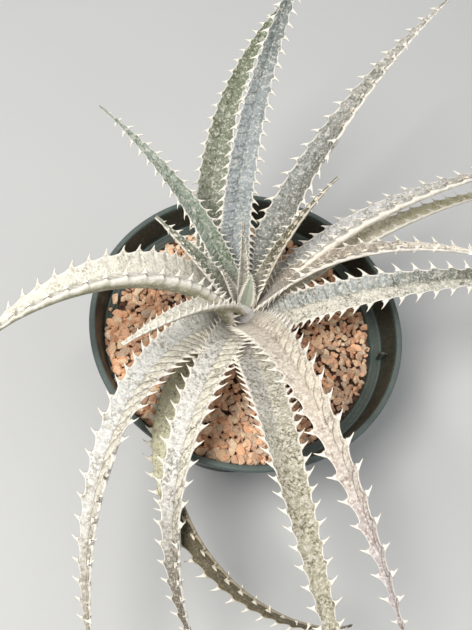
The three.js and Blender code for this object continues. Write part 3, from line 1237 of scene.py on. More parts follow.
@dataclass
class Gravel:
    """The potting mix and the crushed brick that covers it.

    The chips are heaped a little on one side and against the wall, more so at the front, and they
    cover the ledge at the front left.
    """

    pitch: float = 4.25
    layers: tuple[ChipLayer, ...] = (ChipLayer(1.0, -0.2, 1.0), ChipLayer(1.18, 1.3, 0.7))
    grid_half: float = 108.0
    row_pitch: float = 0.87
    layer_shift: tuple[float, float] = (0.4, 0.3)  # of a pitch, along x and y
    jitter: float = 0.36  # of a pitch
    rise_varies: tuple[float, float] = (-1.0, 0.9)
    kinds: int = 18
    chip: tuple[float, float] = (1.55, 2.75)
    grows: float = 0.3
    grows_to: tuple[float, float] = (-0.6, -0.8)  # the way in which the chips grow bigger
    grows_over: float = 75.0
    chip_lean: float = 0.5
    chip_smooth: float = 14.0
    wall_gap: float = 0.2
    wall_slope: float = 0.35
    dips: float = 2.0
    heap_azimuth: float = 175.0
    heap_slope: float = 1.2
    heap_crest: float = 2.8
    heap_starts: tuple[float, float] = (-0.6, -0.15)  # of the ledge's inner radius, like the next
    by_wall: tuple[float, float] = (0.7, 0.95)
    stem_room: float = 8.0
    bare_edge: float = 82.4
    overlap: float = 0.25  # how much of a chip's size keeps its middle back from the edge
    cover: float = 7.4
    cover_azimuth: float = 247.0
    cover_half: float = 53.0
    cover_fades: tuple[float, float] = (8.0, 4.0)
    front_azimuth: float = 273.0
    front_half: tuple[float, float] = (40.0, 24.0)  # where the front begins, and where it is full
    front_reach: float = 2.6
    front_rise: float = 2.4
    strays: tuple[tuple[float, float, float, float], ...] = (
        # place and size of the chips that lie alone on the ledge: two at the left, one at the back
        (-87.0, -3.0, 94.3, 2.9), (-87.5, -11.0, 93.4, 1.5), (-20.0, 85.5, 94.0, 2.2)
    )
    bed_floor: float = 3.3
    bed_foot: float = 57.0
    bed_gap: float = 0.5
    bed_edge: tuple[float, float] = (2.4, 0.5)
    bed_brim: float = 1.2
    bed_crumbles: float = 1.0
    bed_rings: int = 30
    bed_steps: int = 96
    bed_sunk: float = 1.0
    crumb: float = 0.5
    crumb_waves: tuple[tuple[float, float, float], ...] = ((1.9, 2.0, 0.7), (2.1, 1.5, 0.6))
    seed: int = 5
    stone: StoneShape = StoneShape()
    finish: CrushedBrick = CrushedBrick()
    mix: DarkMix = DarkMix()

    def level(self, x: np.ndarray, y: np.ndarray) -> np.ndarray:
        """Height of the dips between the chips.

        Args:
            x: Places along X, in millimetres.
            y: Places along Y.

        Returns:
            The heights.
        """
        turn = math.radians(self.heap_azimuth)
        share = (x * math.cos(turn) + y * math.sin(turn)) / LEDGE_INNER
        near, far = (edge * LEDGE_INNER for edge in self.by_wall)
        by_wall = smoothstep(np.hypot(x, y), near, far)
        crest = self.heap_crest * by_wall * smoothstep(share, *self.heap_starts)
        front = self.front_rise * by_wall * self.in_front(x, y)
        return LEDGE_HEIGHT - self.dips + self.heap_slope * share + crest + front

    def in_front(self, x: np.ndarray, y: np.ndarray) -> np.ndarray:
        """How near places are to the front, where the chips are heaped against the wall, 0 to 1."""
        outer, inner = self.front_half
        return smoothstep(-degrees_from(x, y, self.front_azimuth), -outer, -inner)

    def reach(self, x: np.ndarray, y: np.ndarray) -> np.ndarray:
        """How far out chips lie: up to the ledge, or over it where they are heaped.

        Args:
            x: Places along X, in millimetres.
            y: Places along Y.

        Returns:
            The distances from the pot's axis.
        """
        fade_out, fade_in = self.cover_fades
        from_heap = -degrees_from(x, y, self.cover_azimuth)
        cover = self.cover * smoothstep(from_heap, -self.cover_half - fade_out, -self.cover_half + fade_in)
        return self.bare_edge + cover + self.front_reach * self.in_front(x, y)

    def build(self, effects: Effects) -> list[bpy.types.Object]:
        """Builds the mix and the chips.

        Args:
            effects: The shared effects.

        Returns:
            The bed and the chips, which together take the gravel node's place.
        """
        bed = self.build_bed()
        bed.data.materials.append(self.mix.material(effects))
        chips = self.build_chips()
        chips.data.materials.append(self.finish.material(effects))
        for piece in (bed, chips):
            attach(piece, "root")
            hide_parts("gravel")
        return [bed, chips]

    def build_bed(self) -> bpy.types.Object:
        """The mix under the chips, one solid with a crumbly top.

        Returns:
            The bed.
        """
        side = LEDGE_INNER - self.bed_gap
        profile = [(0, self.bed_floor), (self.bed_foot, self.bed_floor)]
        profile += [(side, LEDGE_HEIGHT - drop) for drop in self.bed_edge]
        rings = np.linspace(LEDGE_INNER - self.bed_brim, 0, self.bed_rings)
        profile += [(radius, LEDGE_HEIGHT) for radius in rings]
        bed = spun("gravel_bed", profile, self.bed_steps)
        points, _ = mesh_arrays(bed.data)
        points /= MM
        x, y, z = points.T
        top = z > LEDGE_HEIGHT - self.bed_crumbles
        crumbs = self.crumb
        for (pitch, sway, slow), (a, b) in zip(self.crumb_waves, ((x, y), (y, x))):
            crumbs = crumbs * np.sin(a * pitch + sway * np.sin(b * slow))
        points[top, 2] = (self.level(x, y) - self.bed_sunk + crumbs)[top]
        move_points(bed, points * MM)
        select_only(bed)
        bpy.ops.object.shade_smooth()
        return bed

    def spots(self, draw: np.random.Generator) -> tuple[np.ndarray, np.ndarray]:
        """Chooses where the chips lie.

        Args:
            draw: Random numbers.

        Returns:
            The chips' middles and their sizes, in millimetres.
        """
        rows = []
        for number, layer in enumerate(self.layers):
            pitch = self.pitch * layer.pitch
            steps = np.arange(-self.grid_half, self.grid_half, pitch)
            x, y = np.meshgrid(steps, steps * self.row_pitch)
            offset = (np.arange(len(steps)) % 2)[:, None] * pitch / 2
            x = x + offset + number * pitch * self.layer_shift[0]
            y = y + number * pitch * self.layer_shift[1]
            x, y = (v.ravel() + draw.uniform(-self.jitter, self.jitter, v.size) * pitch for v in (x, y))
            keep = draw.uniform(size=x.size) < layer.filled
            rows.append(np.c_[x, y, np.full(x.size, layer.lift)][keep])
        found = np.concatenate(rows)
        x, y = found[:, 0], found[:, 1]
        ahead = self.grows_to[0] * x + self.grows_to[1] * y
        grown = 1 + self.grows * smoothstep(ahead, 0, self.grows_over)
        sizes = draw.uniform(*self.chip, len(found)) * grown
        from_stem = np.hypot(x - CROWN[0], y - CROWN[1])
        within = np.hypot(x, y) < self.reach(x, y) - sizes * self.overlap
        keep = within & (from_stem > self.stem_room)
        found, sizes = found[keep], sizes[keep]
        varies = draw.uniform(*self.rise_varies, len(found))
        found[:, 2] += self.level(found[:, 0], found[:, 1]) + varies
        return found, sizes

    def lay_chip(
        self, shape: np.ndarray, spot: np.ndarray, size: float, draw: np.random.Generator
    ) -> np.ndarray:
        """Turns a stone and lays it in its spot, or against the collar where it would go through.

        Args:
            shape: The stone's points.
            spot: Where its middle goes, in millimetres.
            size: Its size.
            draw: Random numbers.

        Returns:
            Its points there.
        """
        spin = Matrix.Rotation(draw.uniform(0, math.tau), 3, "Z")
        pitched = Matrix.Rotation(draw.normal(0, self.chip_lean), 3, "X")
        rolled = Matrix.Rotation(draw.normal(0, self.chip_lean), 3, "Y")
        laid = shape @ np.array(spin @ (pitched @ rolled)).T * size + spot
        above = np.maximum(laid[:, 2] - LEDGE_HEIGHT, 0)
        collar = LEDGE_OUTER - self.wall_gap + self.wall_slope * above
        over = (np.hypot(laid[:, 0], laid[:, 1]) - collar).max()
        if over > 0:
            laid[:, :2] -= spot[:2] / np.hypot(*spot[:2]) * over
        return laid

    def build_chips(self) -> bpy.types.Object:
        """All the chips, as one piece of many stones.

        Returns:
            The chips.
        """
        draw = np.random.default_rng(self.seed)
        stones = [self.stone.model(draw) for _ in range(self.kinds)]
        spots, sizes = self.spots(draw)
        strays = np.array(self.strays)
        spots, sizes = np.concatenate([spots, strays[:, :3]]), np.concatenate([sizes, strays[:, 3]])
        points, faces, tones, count = [], [], [], 0
        for spot, size in zip(spots, sizes):
            shape, sides = stones[int(draw.integers(self.kinds))]
            points.append(self.lay_chip(shape, spot, size, draw))
            faces.extend(tuple(corner + count for corner in side) for side in sides)
            tones.append(np.full(len(shape), draw.uniform()))
            count += len(shape)
        chips = new_piece("gravel_chips", np.concatenate(points) * MM, faces)
        set_attribute(chips, "stone", np.concatenate(tones))
        select_only(chips)
        bpy.ops.object.shade_smooth_by_angle(angle=math.radians(self.chip_smooth))
        return chips


# ---------------------------------------------------------------- crown


@dataclass
class Crown:
    """The short stem, wrapped in the stubs of old leaf bases, with a dome of husks in the heart."""

    foot: float = 66.5
    foot_share: float = 0.7
    foot_rise: float = 8.0
    shoulder: float = 102.0
    top: float = 127.2
    radius: float = 7.0
    stubs: int = 7
    stub: tuple[float, ...] = (0.0, 0.25, 0.5)
    dome: tuple[tuple[float, float], ...] = (
        # bulge past the stem's radius, rise over its shoulder
        (1.8, 4.0), (3.2, 9.0), (3.6, 13.0), (3.0, 17.0), (1.2, 20.5), (-1.6, 23.2), (-4.6, 24.8)
    )
    sides: int = 32
    lean: tuple[float, float] = (-0.8, -2.6)
    leans_over: tuple[float, float] = (98.0, 118.0)
    husk: DarkMix = DarkMix("crown_husk", (226, 222, 221), (238, 235, 234))

    def profile(self) -> list[tuple[float, float]]:
        """The crown's section, from the axis at its foot to the axis at its top.

        Returns:
            Radius and height of each point, in millimetres.
        """
        found = [(0.0, self.foot), (self.radius * self.foot_share, self.foot)]
        found.append((self.radius, self.foot + self.foot_rise))
        heights = np.linspace(self.foot + self.foot_rise + 1, self.shoulder, self.stubs * len(self.stub))
        for k, height in enumerate(heights):
            found.append((self.radius + self.stub[k % len(self.stub)], float(height)))
        found += [(self.radius + bulge, self.shoulder + rise) for bulge, rise in self.dome]
        return found + [(0.0, self.top)]

    def build(self, effects: Effects) -> list[bpy.types.Object]:
        """Builds the stem.

        Args:
            effects: The shared effects.

        Returns:
            The stem alone, in place of its CAD node.
        """
        stem = spun("crown_stem", self.profile(), self.sides)
        points, _ = mesh_arrays(stem.data)
        leaning = smoothstep(points[:, 2] / MM, *self.leans_over)[:, None]
        points[:, :2] += (CROWN + leaning * np.array(self.lean)) * MM
        move_points(stem, points)
        stem.data.materials.append(self.husk.material(effects))
        select_only(stem)
        bpy.ops.object.shade_smooth()
        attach(stem, "root")
        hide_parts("stem")
        return [stem]


# ---------------------------------------------------------------- leaves


@dataclass
class Thorn:
    """The hooked marginal spine, modelled once and bent to suit each place."""

    points: np.ndarray = field(init=False)
    faces: list[Face] = field(init=False)
    rings: tuple[tuple[float, float, float, float], ...] = (
        # share of the length, middle along the margin, half length along it, half thickness
        (-0.2, 0.3, 2.1, 0.62),
        (0.0, 0.2, 1.5, 0.62),
        (0.14, 0.1, 1.0, 0.56),
        (0.34, 0.02, 0.66, 0.46),
        (0.6, 0.0, 0.46, 0.36),
        (0.84, 0.0, 0.28, 0.23),
    )
    point: tuple[float, float, float, float] = (1.0, 0.0, 0.0, 0.0)
    sides: int = 6

    def __post_init__(self) -> None:
        """Models the spine: a ring is extruded outwards and drawn in to the point."""
        deselect()
        bpy.ops.mesh.primitive_circle_add(vertices=self.sides, radius=1, rotation=(0, math.pi / 2, 0))
        made = bpy.context.object
        bpy.ops.object.transform_apply(location=False, rotation=True, scale=False)
        start_editing(made)
        for _ in self.rings:
            bpy.ops.mesh.extrude_region_move(TRANSFORM_OT_translate={"value": (1, 0, 0)})
        bpy.ops.mesh.merge(type="CENTER")
        bpy.ops.object.mode_set(mode="OBJECT")
        points, self.faces = mesh_arrays(made.data)
        bpy.data.objects.remove(made)
        step = np.rint(points[:, 0]).astype(int)
        out, middle, half, thick = np.array([*self.rings, self.point])[step].T
        self.points = np.c_[out, middle + points[:, 1] * half, points[:, 2] * thick]


@dataclass(frozen=True)
class SpineHabit:
    """How all the spines grow, lean and hook; distances in millimetres.

    Spines are shorter by the root, where they start, and towards the leaf's tip. They lean back to
    the crown, less so towards the tip.
    """

    modelled: float = 4.0
    first: float = 0.65
    grows_over: tuple[float, float] = (5.0, 60.0)
    shrinks: float = 0.2
    last: float = 0.6
    last_over: tuple[float, float] = (0.85, 1.0)
    varies: tuple[float, float] = (0.86, 1.12)
    lean: float = 1.0
    lean_fades: float = 0.45
    lean_varies: float = 0.1
    shortened: float = 0.12
    hook: float = 0.8
    hook_power: float = 1.5
    lift: float = 0.22
    lift_power: float = 1.2
    lift_varies: float = 0.05
    sunk_in: float = 0.4
    sunk_down: float = 0.35
    mark: tuple[float, float] = (1.12, 0.88)


@dataclass(frozen=True)
class LeafShape:
    """How all the blades are shaped; lengths in millimetres."""

    channel: tuple[float, float] = (0.1, 0.2)
    channel_grows: tuple[float, float] = (0.15, 0.45)
    channel_power: float = 1.2
    clasp: float = 0.1
    clasp_length: float = 26.0
    thickness: float = 0.17
    thickness_range: tuple[float, float] = (1.5, 4.2)
    keel: float = 0.8
    keel_power: float = 3.2
    keel_bluntness: float = 0.6
    tip_width: float = 1.2
    waist: float = 0.68
    waist_length: float = 20.0
    full_width: float = 20.0
    full_relief: float = 16.0
    relief_ramp: tuple[float, float] = (-1.05, -0.2)
    margin: float = 0.7
    margin_share: float = 0.5
    wave: float = 0.16
    wave_grows: tuple[float, float] = (4.0, 40.0)
    wave_side: tuple[float, float] = (0.1, 0.6)
    notch: float = 0.2
    notch_reach: float = 4.0
    notch_grows: tuple[float, float] = (2.0, 24.0)
    notch_ends: tuple[float, float] = (0.9, 1.0)
    notch_middle: float = 0.25
    bite: tuple[float, float] = (0.6, 0.8)
    roll_angle: float = 118.0
    roll_eases: float = 25.0
    roll_flare_power: float = 8.0
    least_radius: float = 1e-3
    least_rolled: float = 0.01
    seam_gap: float = 0.001
    upper: int = 21
    lower: int = 15
    columns_crowd: float = 0.86
    midrib_steps: int = 400
    phases: tuple[float, ...] = (0.0, 0.06, 0.14, 0.25, 0.38, 0.52, 0.66, 0.76, 0.83, 0.89, 0.95)
    first_tooth: float = 7.0
    first_tooth_shares: tuple[float, float] = (0.45, 0.55)
    last_tooth: float = 0.6
    crowding: float = 0.38
    crowding_from: float = 10.0
    tip_crowding: float = 0.25
    tip_crowding_power: int = 4
    shortest: float = 0.2


@dataclass(frozen=True)
class Run:
    """How one leaf runs: angles in degrees, lengths in millimetres.

    A leaf starts at its root, the distance from the crown's axis, and its height over the rim. It
    heads for its azimuth and climbs at its rise. Over its length the heading turns by the sweep and
    the climb falls by the droop, as the powers bend and arch of the share of length covered. The
    width shrinks as the power taper. The blade is rolled about its midrib by twist at the root and
    by twist + turn at the tip.
    """

    azimuth: float
    sweep: float
    bend: float
    rise: float
    droop: float
    arch: float
    length: float
    width: float
    taper: float
    twist: float
    turn: float
    root: float
    height: float


@dataclass(frozen=True)
class Edge:
    """One leaf's spines and rolled margin, in millimetres.

    The spines stand a spacing apart, once the leaf is as far from its root as crowded says, and
    nearer together before. A margin rolls up over the blade on one side, -1 or 1, from a distance
    on, and takes in a share of the blade's half.
    """

    spacing: float
    crowded: float
    reach: float
    rolled_side: int = 0
    rolled_from: float = 0.0
    rolled: float = 0.0


@dataclass
class Leaf:
    """One leaf: a channelled blade on a curved midrib, with hooked spines along both margins."""

    name: str
    kind: LeafKind
    slot: str
    edge: Edge
    run: Run
    shape: LeafShape
    habit: SpineHabit
    thorn: Thorn
    seed: int

    def __post_init__(self) -> None:
        """Works out how big the leaf is against a full one."""
        self.size = min(self.run.width / self.shape.full_width, 1.0)

    def axes(self, shares: np.ndarray) -> tuple[np.ndarray, np.ndarray, np.ndarray]:
        """Directions along the leaf, across it and out of its upper side.

        Args:
            shares: Shares of the leaf's length.

        Returns:
            Three arrays of unit vectors.
        """
        run = self.run
        shares = np.maximum(shares, NEARLY_ZERO)
        heading = np.radians(run.azimuth + run.sweep * shares**run.bend)
        climb = np.radians(run.rise - run.droop * shares**run.arch)
        roll = np.radians(run.twist + run.turn * shares)[:, None]
        along = np.c_[np.cos(climb) * np.cos(heading), np.cos(climb) * np.sin(heading), np.sin(climb)]
        level = np.c_[np.sin(heading), -np.cos(heading), 0 * heading]
        across = level * np.cos(roll) + np.cross(level, along) * np.sin(roll)
        return along, across, np.cross(across, along)

    def pitch(self, place: np.ndarray) -> np.ndarray:
        """Distance from spine to spine: they are crowded near the crown, and a little at the tip.

        Args:
            place: Distances from the root.

        Returns:
            The distances between spines there.
        """
        shape = self.shape
        share = smoothstep(np.asarray(place, float), shape.crowding_from, self.edge.crowded)
        crowded = shape.crowding + (1 - shape.crowding) * share
        ending = 1 - shape.tip_crowding * (place / self.run.length) ** shape.tip_crowding_power
        return self.edge.spacing * crowded * ending

    def teeth(self) -> np.ndarray:
        """Chooses where the spines stand.

        Returns:
            Their distances from the root.
        """
        least, grows = self.shape.first_tooth_shares
        found = [self.shape.first_tooth * (least + grows * self.size)]
        while found[-1] < self.run.length - self.shape.last_tooth * self.edge.spacing:
            found.append(found[-1] + float(self.pitch(found[-1])))
        return np.array(found[:-1])

    def stations(self, teeth: np.ndarray) -> tuple[np.ndarray, np.ndarray]:
        """Distances of the sections from the root, closer together at each spine.

        Args:
            teeth: Distances of the spines.

        Returns:
            The distances, and the count of teeth passed at each, with its fraction.
        """
        places, counts = [0.0], [-1.0]
        for k in range(-1, len(teeth) - 1):
            low, high = (0.0, teeth[0]) if k < 0 else (teeth[k], teeth[k + 1])
            for phase in self.shape.phases:
                if k >= 0 or phase > 0:
                    places.append(low + (high - low) * phase)
                    counts.append(k + phase)
        places.append(float(teeth[-1]))
        counts.append(float(len(teeth) - 1))
        if self.run.length - places[-1] > self.shape.shortest:
            places.append(self.run.length)
            counts.append(len(teeth) - self.shape.last_tooth)
        return np.array(places), np.array(counts)

    def midrib(self, places: np.ndarray) -> np.ndarray:
        """Finds points of the midrib.

        Args:
            places: Distances from the root.

        Returns:
            One point for each, in millimetres.
        """
        run = self.run
        fine = np.linspace(0, run.length, self.shape.midrib_steps)
        along, _, _ = self.axes((fine[:-1] + fine[1:]) / 2 / run.length)
        turn = math.radians(run.azimuth)
        x, y = CROWN[0] + run.root * math.cos(turn), CROWN[1] + run.root * math.sin(turn)
        start = np.array([x, y, POT_HEIGHT + run.height])
        path = start + np.r_[np.zeros((1, 3)), np.cumsum(along, 0) * (fine[1] - fine[0])]
        return np.c_[tuple(np.interp(places, fine, path[:, k]) for k in range(3))]

    def widths(self, places: np.ndarray) -> np.ndarray:
        """Widths of the blade.

        Args:
            places: Distances from the root.

        Returns:
            The widths there.
        """
        shape = self.shape
        low = 1 + (shape.waist - 1) * self.size
        waist = low + (1 - low) * smoothstep(places, 0, shape.waist_length)
        share = np.clip(places / self.run.length, 0, 1)
        return np.maximum(shape.tip_width, self.run.width * waist * (1 - share**self.run.taper))

    def lips(self, places: np.ndarray) -> np.ndarray:
        """Heights of the margins over the midrib.

        Args:
            places: Distances from the root.

        Returns:
            The heights there.
        """
        near, far = self.shape.channel
        share = smoothstep(places / self.run.length, *self.shape.channel_grows)
        clasp = self.shape.clasp * self.size * (1 - smoothstep(places, 0, self.shape.clasp_length))
        return self.widths(places) * (near + (far - near) * share + clasp)

    def flare(self, places: np.ndarray, phase: np.ndarray) -> np.ndarray:
        """How far a margin stands out between two spines: a round bite on each one's crown side.

        Args:
            places: Distances from the root.
            phase: Shares of the way from one spine to the next.

        Returns:
            The distances, in millimetres.
        """
        shape = self.shape
        ends, starts = shape.bite
        tipward = np.clip(1 - phase / ends, 0, 1) ** 2
        crownward = np.clip((phase - starts) / (1 - starts), 0, 1) ** 2
        deep = shape.notch * self.pitch(places) * min(self.edge.reach / shape.notch_reach, 1.0)
        deep = deep * smoothstep(places, *shape.notch_grows)
        ending = 1 - smoothstep(places / self.run.length, *shape.notch_ends)
        return deep * ending * (np.maximum(tipward, crownward) - shape.notch_middle)

    def relief(self, across: np.ndarray, tooth: np.ndarray) -> np.ndarray:
        """Height of the cushions on the upper side, shaped as the imprint effect paints them.

        Args:
            across: Place across the blade, -1 to 1.
            tooth: Count of teeth passed.

        Returns:
            The heights, 0 to 1.
        """
        middle = IMPRINT.middle
        phase = np.mod(tooth + self.kind.value.slant * (across + 1) + middle, 1.0)
        side = np.abs((across + middle) / middle)
        reach = np.abs(2 * phase - 1) ** IMPRINT.power_along + side**IMPRINT.power_across
        return np.sqrt(smoothstep(-reach, *self.shape.relief_ramp))

    def spread(
        self, places: np.ndarray, counts: np.ndarray, across: np.ndarray
    ) -> tuple[np.ndarray, np.ndarray, np.ndarray]:
        """Lays out the upper face of the blade, with one margin rolled up where the leaf has it so.

        Args:
            places: Distances of the sections from the root.
            counts: Teeth passed at each.
            across: Places across the blade, -1 to 1.

        Returns:
            Distances across and above the midrib in millimetres, and the slope in radians.
        """
        shape, edge = self.shape, self.edge
        out = np.abs(across)[None, :]
        half = self.widths(places)[:, None] / 2
        flare = self.flare(places, np.mod(counts, 1.0))[:, None]
        height = self.lips(places)[:, None] * out**shape.channel_power
        flat = (half + flare) * across
        rolled = smoothstep(places, edge.rolled_from, edge.rolled_from + shape.roll_eases)[:, None]
        rolled = rolled * (across * edge.rolled_side > 0)[None, :]
        full = math.radians(shape.roll_angle)
        arc = half * edge.rolled * (1 + (full - 1) * rolled)
        radius = arc / np.maximum(full * rolled, shape.least_radius)
        share = np.clip((out - 1) / max(edge.rolled, shape.least_rolled) + 1, 0, 1)
        length = arc * share + flare * share**shape.roll_flare_power
        angle = length / np.maximum(radius, shape.least_radius)
        curled = np.sign(across) * (half * np.minimum(out, 1 - edge.rolled) + radius * np.sin(angle))
        lifted = height + radius * (1 - np.cos(angle))
        here = rolled > 0
        return np.where(here, curled, flat), np.where(here, lifted, height), np.where(here, angle, 0.0)

    def columns(self) -> tuple[np.ndarray, np.ndarray]:
        """Places across the blade of the skin's points, closer together towards the margins.

        Returns:
            Those of the upper side from -1 to 1, and those of the lower side back again.
        """
        shape = self.shape
        bend = math.pi / 2 * shape.columns_crowd
        top, low = (
            np.sin(np.linspace(-1, 1, count) * bend) / math.sin(bend)
            for count in (shape.upper, shape.lower + 2)
        )
        return top, low[-2:0:-1]

    def section(self, places: np.ndarray, counts: np.ndarray) -> tuple[np.ndarray, np.ndarray, np.ndarray]:
        """The blade's skin.

        Args:
            places: Distances of the sections from the root.
            counts: Teeth passed at each.

        Returns:
            Points, blade attribute and beneath attribute, one row for each section and point.
        """
        shape = self.shape
        top, low = self.columns()
        width = self.widths(places)[:, None]
        thick = np.minimum(np.clip(width * shape.thickness, *shape.thickness_range), width)
        grown = smoothstep(places, *shape.wave_grows)[:, None] * self.size
        lip = self.lips(places)[:, None]

        # The upper side: the channel, raised by the cushions and waved along one margin.
        u_top, v_top, _ = self.spread(places, counts, top)
        raised = self.relief(top[None, :], counts[:, None])
        full = self.kind.value.raised * self.size * np.minimum(width / shape.full_relief, 1)
        waves = shape.wave * np.sin(math.tau * counts[:, None]) * smoothstep(top, *shape.wave_side)
        v_top = v_top + full * raised + waves * grown

        # The lower side: a thick blunt keel that thins out to the margins.
        edge = np.minimum(shape.margin, thick * shape.margin_share)
        keel = (1 - np.abs(low) ** shape.keel_power) ** shape.keel_bluntness
        bare = lip - edge - (lip - edge + shape.keel * thick) * keel
        depth = lip * np.abs(low) ** shape.channel_power - bare
        u_low, v_low, angle = self.spread(places, counts, low)
        u_low, v_low = u_low + depth * np.sin(angle) * np.sign(low), v_low - depth * np.cos(angle)
        u = np.concatenate([u_top, u_low], axis=1)
        v = np.concatenate([v_top, v_low], axis=1)

        _, across, above = self.axes(places / self.run.length)
        middle = self.midrib(places)
        points = middle[:, None] + across[:, None] * u[..., None] + above[:, None] * v[..., None]
        marks = (np.concatenate([top, low]), counts[:, None], places[:, None] * MM)
        blade = np.stack([np.broadcast_to(mark, u.shape) for mark in marks], -1)
        beneath = np.broadcast_to(np.r_[np.zeros(len(top)), np.ones(len(low))], u.shape)
        return points, blade, beneath

    def blade_mesh(self, places: np.ndarray, counts: np.ndarray) -> bpy.types.Object:
        """Wraps a grid into the blade and closes its ends.

        Args:
            places: Distances of the sections from the root.
            counts: Teeth passed at each.

        Returns:
            The blade without its spines.
        """
        points, blade, beneath = self.section(places, counts)
        rows, columns = points.shape[:2]
        deselect()
        bpy.ops.mesh.primitive_grid_add(x_subdivisions=columns, y_subdivisions=rows - 1, size=2)
        made = bpy.context.object
        grid, _ = mesh_arrays(made.data)
        column = np.rint((grid[:, 0] + 1) / 2 * columns).astype(int) % columns
        line = np.rint((grid[:, 1] + 1) / 2 * (rows - 1)).astype(int)
        move_points(made, points[line, column] * MM)
        set_attribute(made, "blade", blade[line, column])
        set_attribute(made, "beneath", beneath[line, column])
        start_editing(made)
        merge_points(self.shape.seam_gap * MM)
        bpy.ops.mesh.select_all(action="DESELECT")
        bpy.ops.mesh.select_non_manifold()
        bpy.ops.mesh.fill_holes(sides=0)
        face_outwards()
        return made

    def spine_length(self, place: float) -> float:
        """The length of the spines at a distance from the root, before they vary.

        Args:
            place: The distance.

        Returns:
            The length, in millimetres.
        """
        habit, share = self.habit, place / self.run.length
        grown = float(smoothstep(np.array(place), *habit.grows_over))
        length = self.edge.reach * (habit.first + (1 - habit.first) * grown)
        ending = 1 - habit.last * smoothstep(share, *habit.last_over)
        return length * (1 - habit.shrinks * share**2) * ending

    def bent(self, length: float, share: float, draw: np.random.Generator) -> np.ndarray:
        """Bends the modelled spine to suit one place.

        Args:
            length: The length of the spines there.
            share: Share of the leaf's length.
            draw: Random numbers.

        Returns:
            Distances out of the margin, along it and above it, in millimetres.
        """
        habit, model = self.habit, self.thorn.points
        scale = length / habit.modelled
        reach = length * draw.uniform(*habit.varies)
        lean = habit.lean - habit.lean_fades * share + draw.normal(0, habit.lean_varies)
        hook = np.clip(model[:, 0], 0, 1)
        out = model[:, 0] * reach * (1 - habit.shortened * hook * max(lean, 0.0)) - habit.sunk_in
        back = model[:, 1] * scale - habit.hook * lean * reach * hook**habit.hook_power
        raised = draw.normal(0, habit.lift_varies) * reach * hook
        lift = model[:, 2] * scale + habit.lift * reach * hook**habit.lift_power + raised - habit.sunk_down
        return np.c_[out, back, lift]

    def spines(self, teeth: np.ndarray) -> tuple[np.ndarray, list[Face], np.ndarray]:
        """All the leaf's spines.

        Args:
            teeth: Distances of the spines from the root.

        Returns:
            Their points, faces and blade attribute.
        """
        draw = np.random.default_rng(self.seed)
        along, across, above = self.axes(teeth / self.run.length)
        middle = self.midrib(teeth)
        edge_out, edge_up, slopes = self.spread(teeth, np.zeros(len(teeth)), np.array([-1.0, 1.0]))
        hook = np.clip(self.thorn.points[:, 0], 0, 1)
        start, grows = self.habit.mark
        points, faces, marks, count = [], [], [], 0
        for k, place in enumerate(teeth):
            length = self.spine_length(place)
            for column, side in enumerate((-1, 1)):
                out, back, lift = self.bent(length, place / self.run.length, draw).T[..., None]
                slope = slopes[k, column]
                outward = side * across[k] * math.cos(slope) + above[k] * math.sin(slope)
                upward = above[k] * math.cos(slope) - side * across[k] * math.sin(slope)
                spot = middle[k] + across[k] * edge_out[k, column] + above[k] * edge_up[k, column]
                points.append(spot + outward * out + upward * lift + along[k] * back)
                # The spines of one side are mirrored, so their faces are turned back.
                for face in self.thorn.faces:
                    faces.append(tuple(corner + count for corner in (face[::-1] if side < 0 else face)))
                marks.append(np.c_[side * (start + grows * hook), np.full((len(hook), 2), (k, place * MM))])
                count += len(hook)
        return np.concatenate(points), faces, np.concatenate(marks)

    def build(self, effects: Effects, materials: dict[LeafKind, bpy.types.Material]) -> bpy.types.Object:
        """Builds the leaf.

        Args:
            effects: The shared effects.
            materials: The kinds' materials made so far.

        Returns:
            The leaf, in place of its CAD node.
        """
        teeth = self.teeth()
        blade = self.blade_mesh(*self.stations(teeth))
        points, faces, marks = self.spines(teeth)
        spines = new_piece("spines", points * MM, faces)
        set_attribute(spines, "blade", marks)
        set_attribute(spines, "beneath", np.zeros(len(points)))
        start_editing(spines)
        face_outwards()
        join_to(blade, spines)
        bpy.ops.object.shade_smooth()
        blade.name = f"{self.name}_blade"
        if self.kind not in materials:
            materials[self.kind] = self.kind.material(effects)
        blade.data.materials.append(materials[self.kind])
        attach(blade, "root")
        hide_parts(self.name)
        return blade


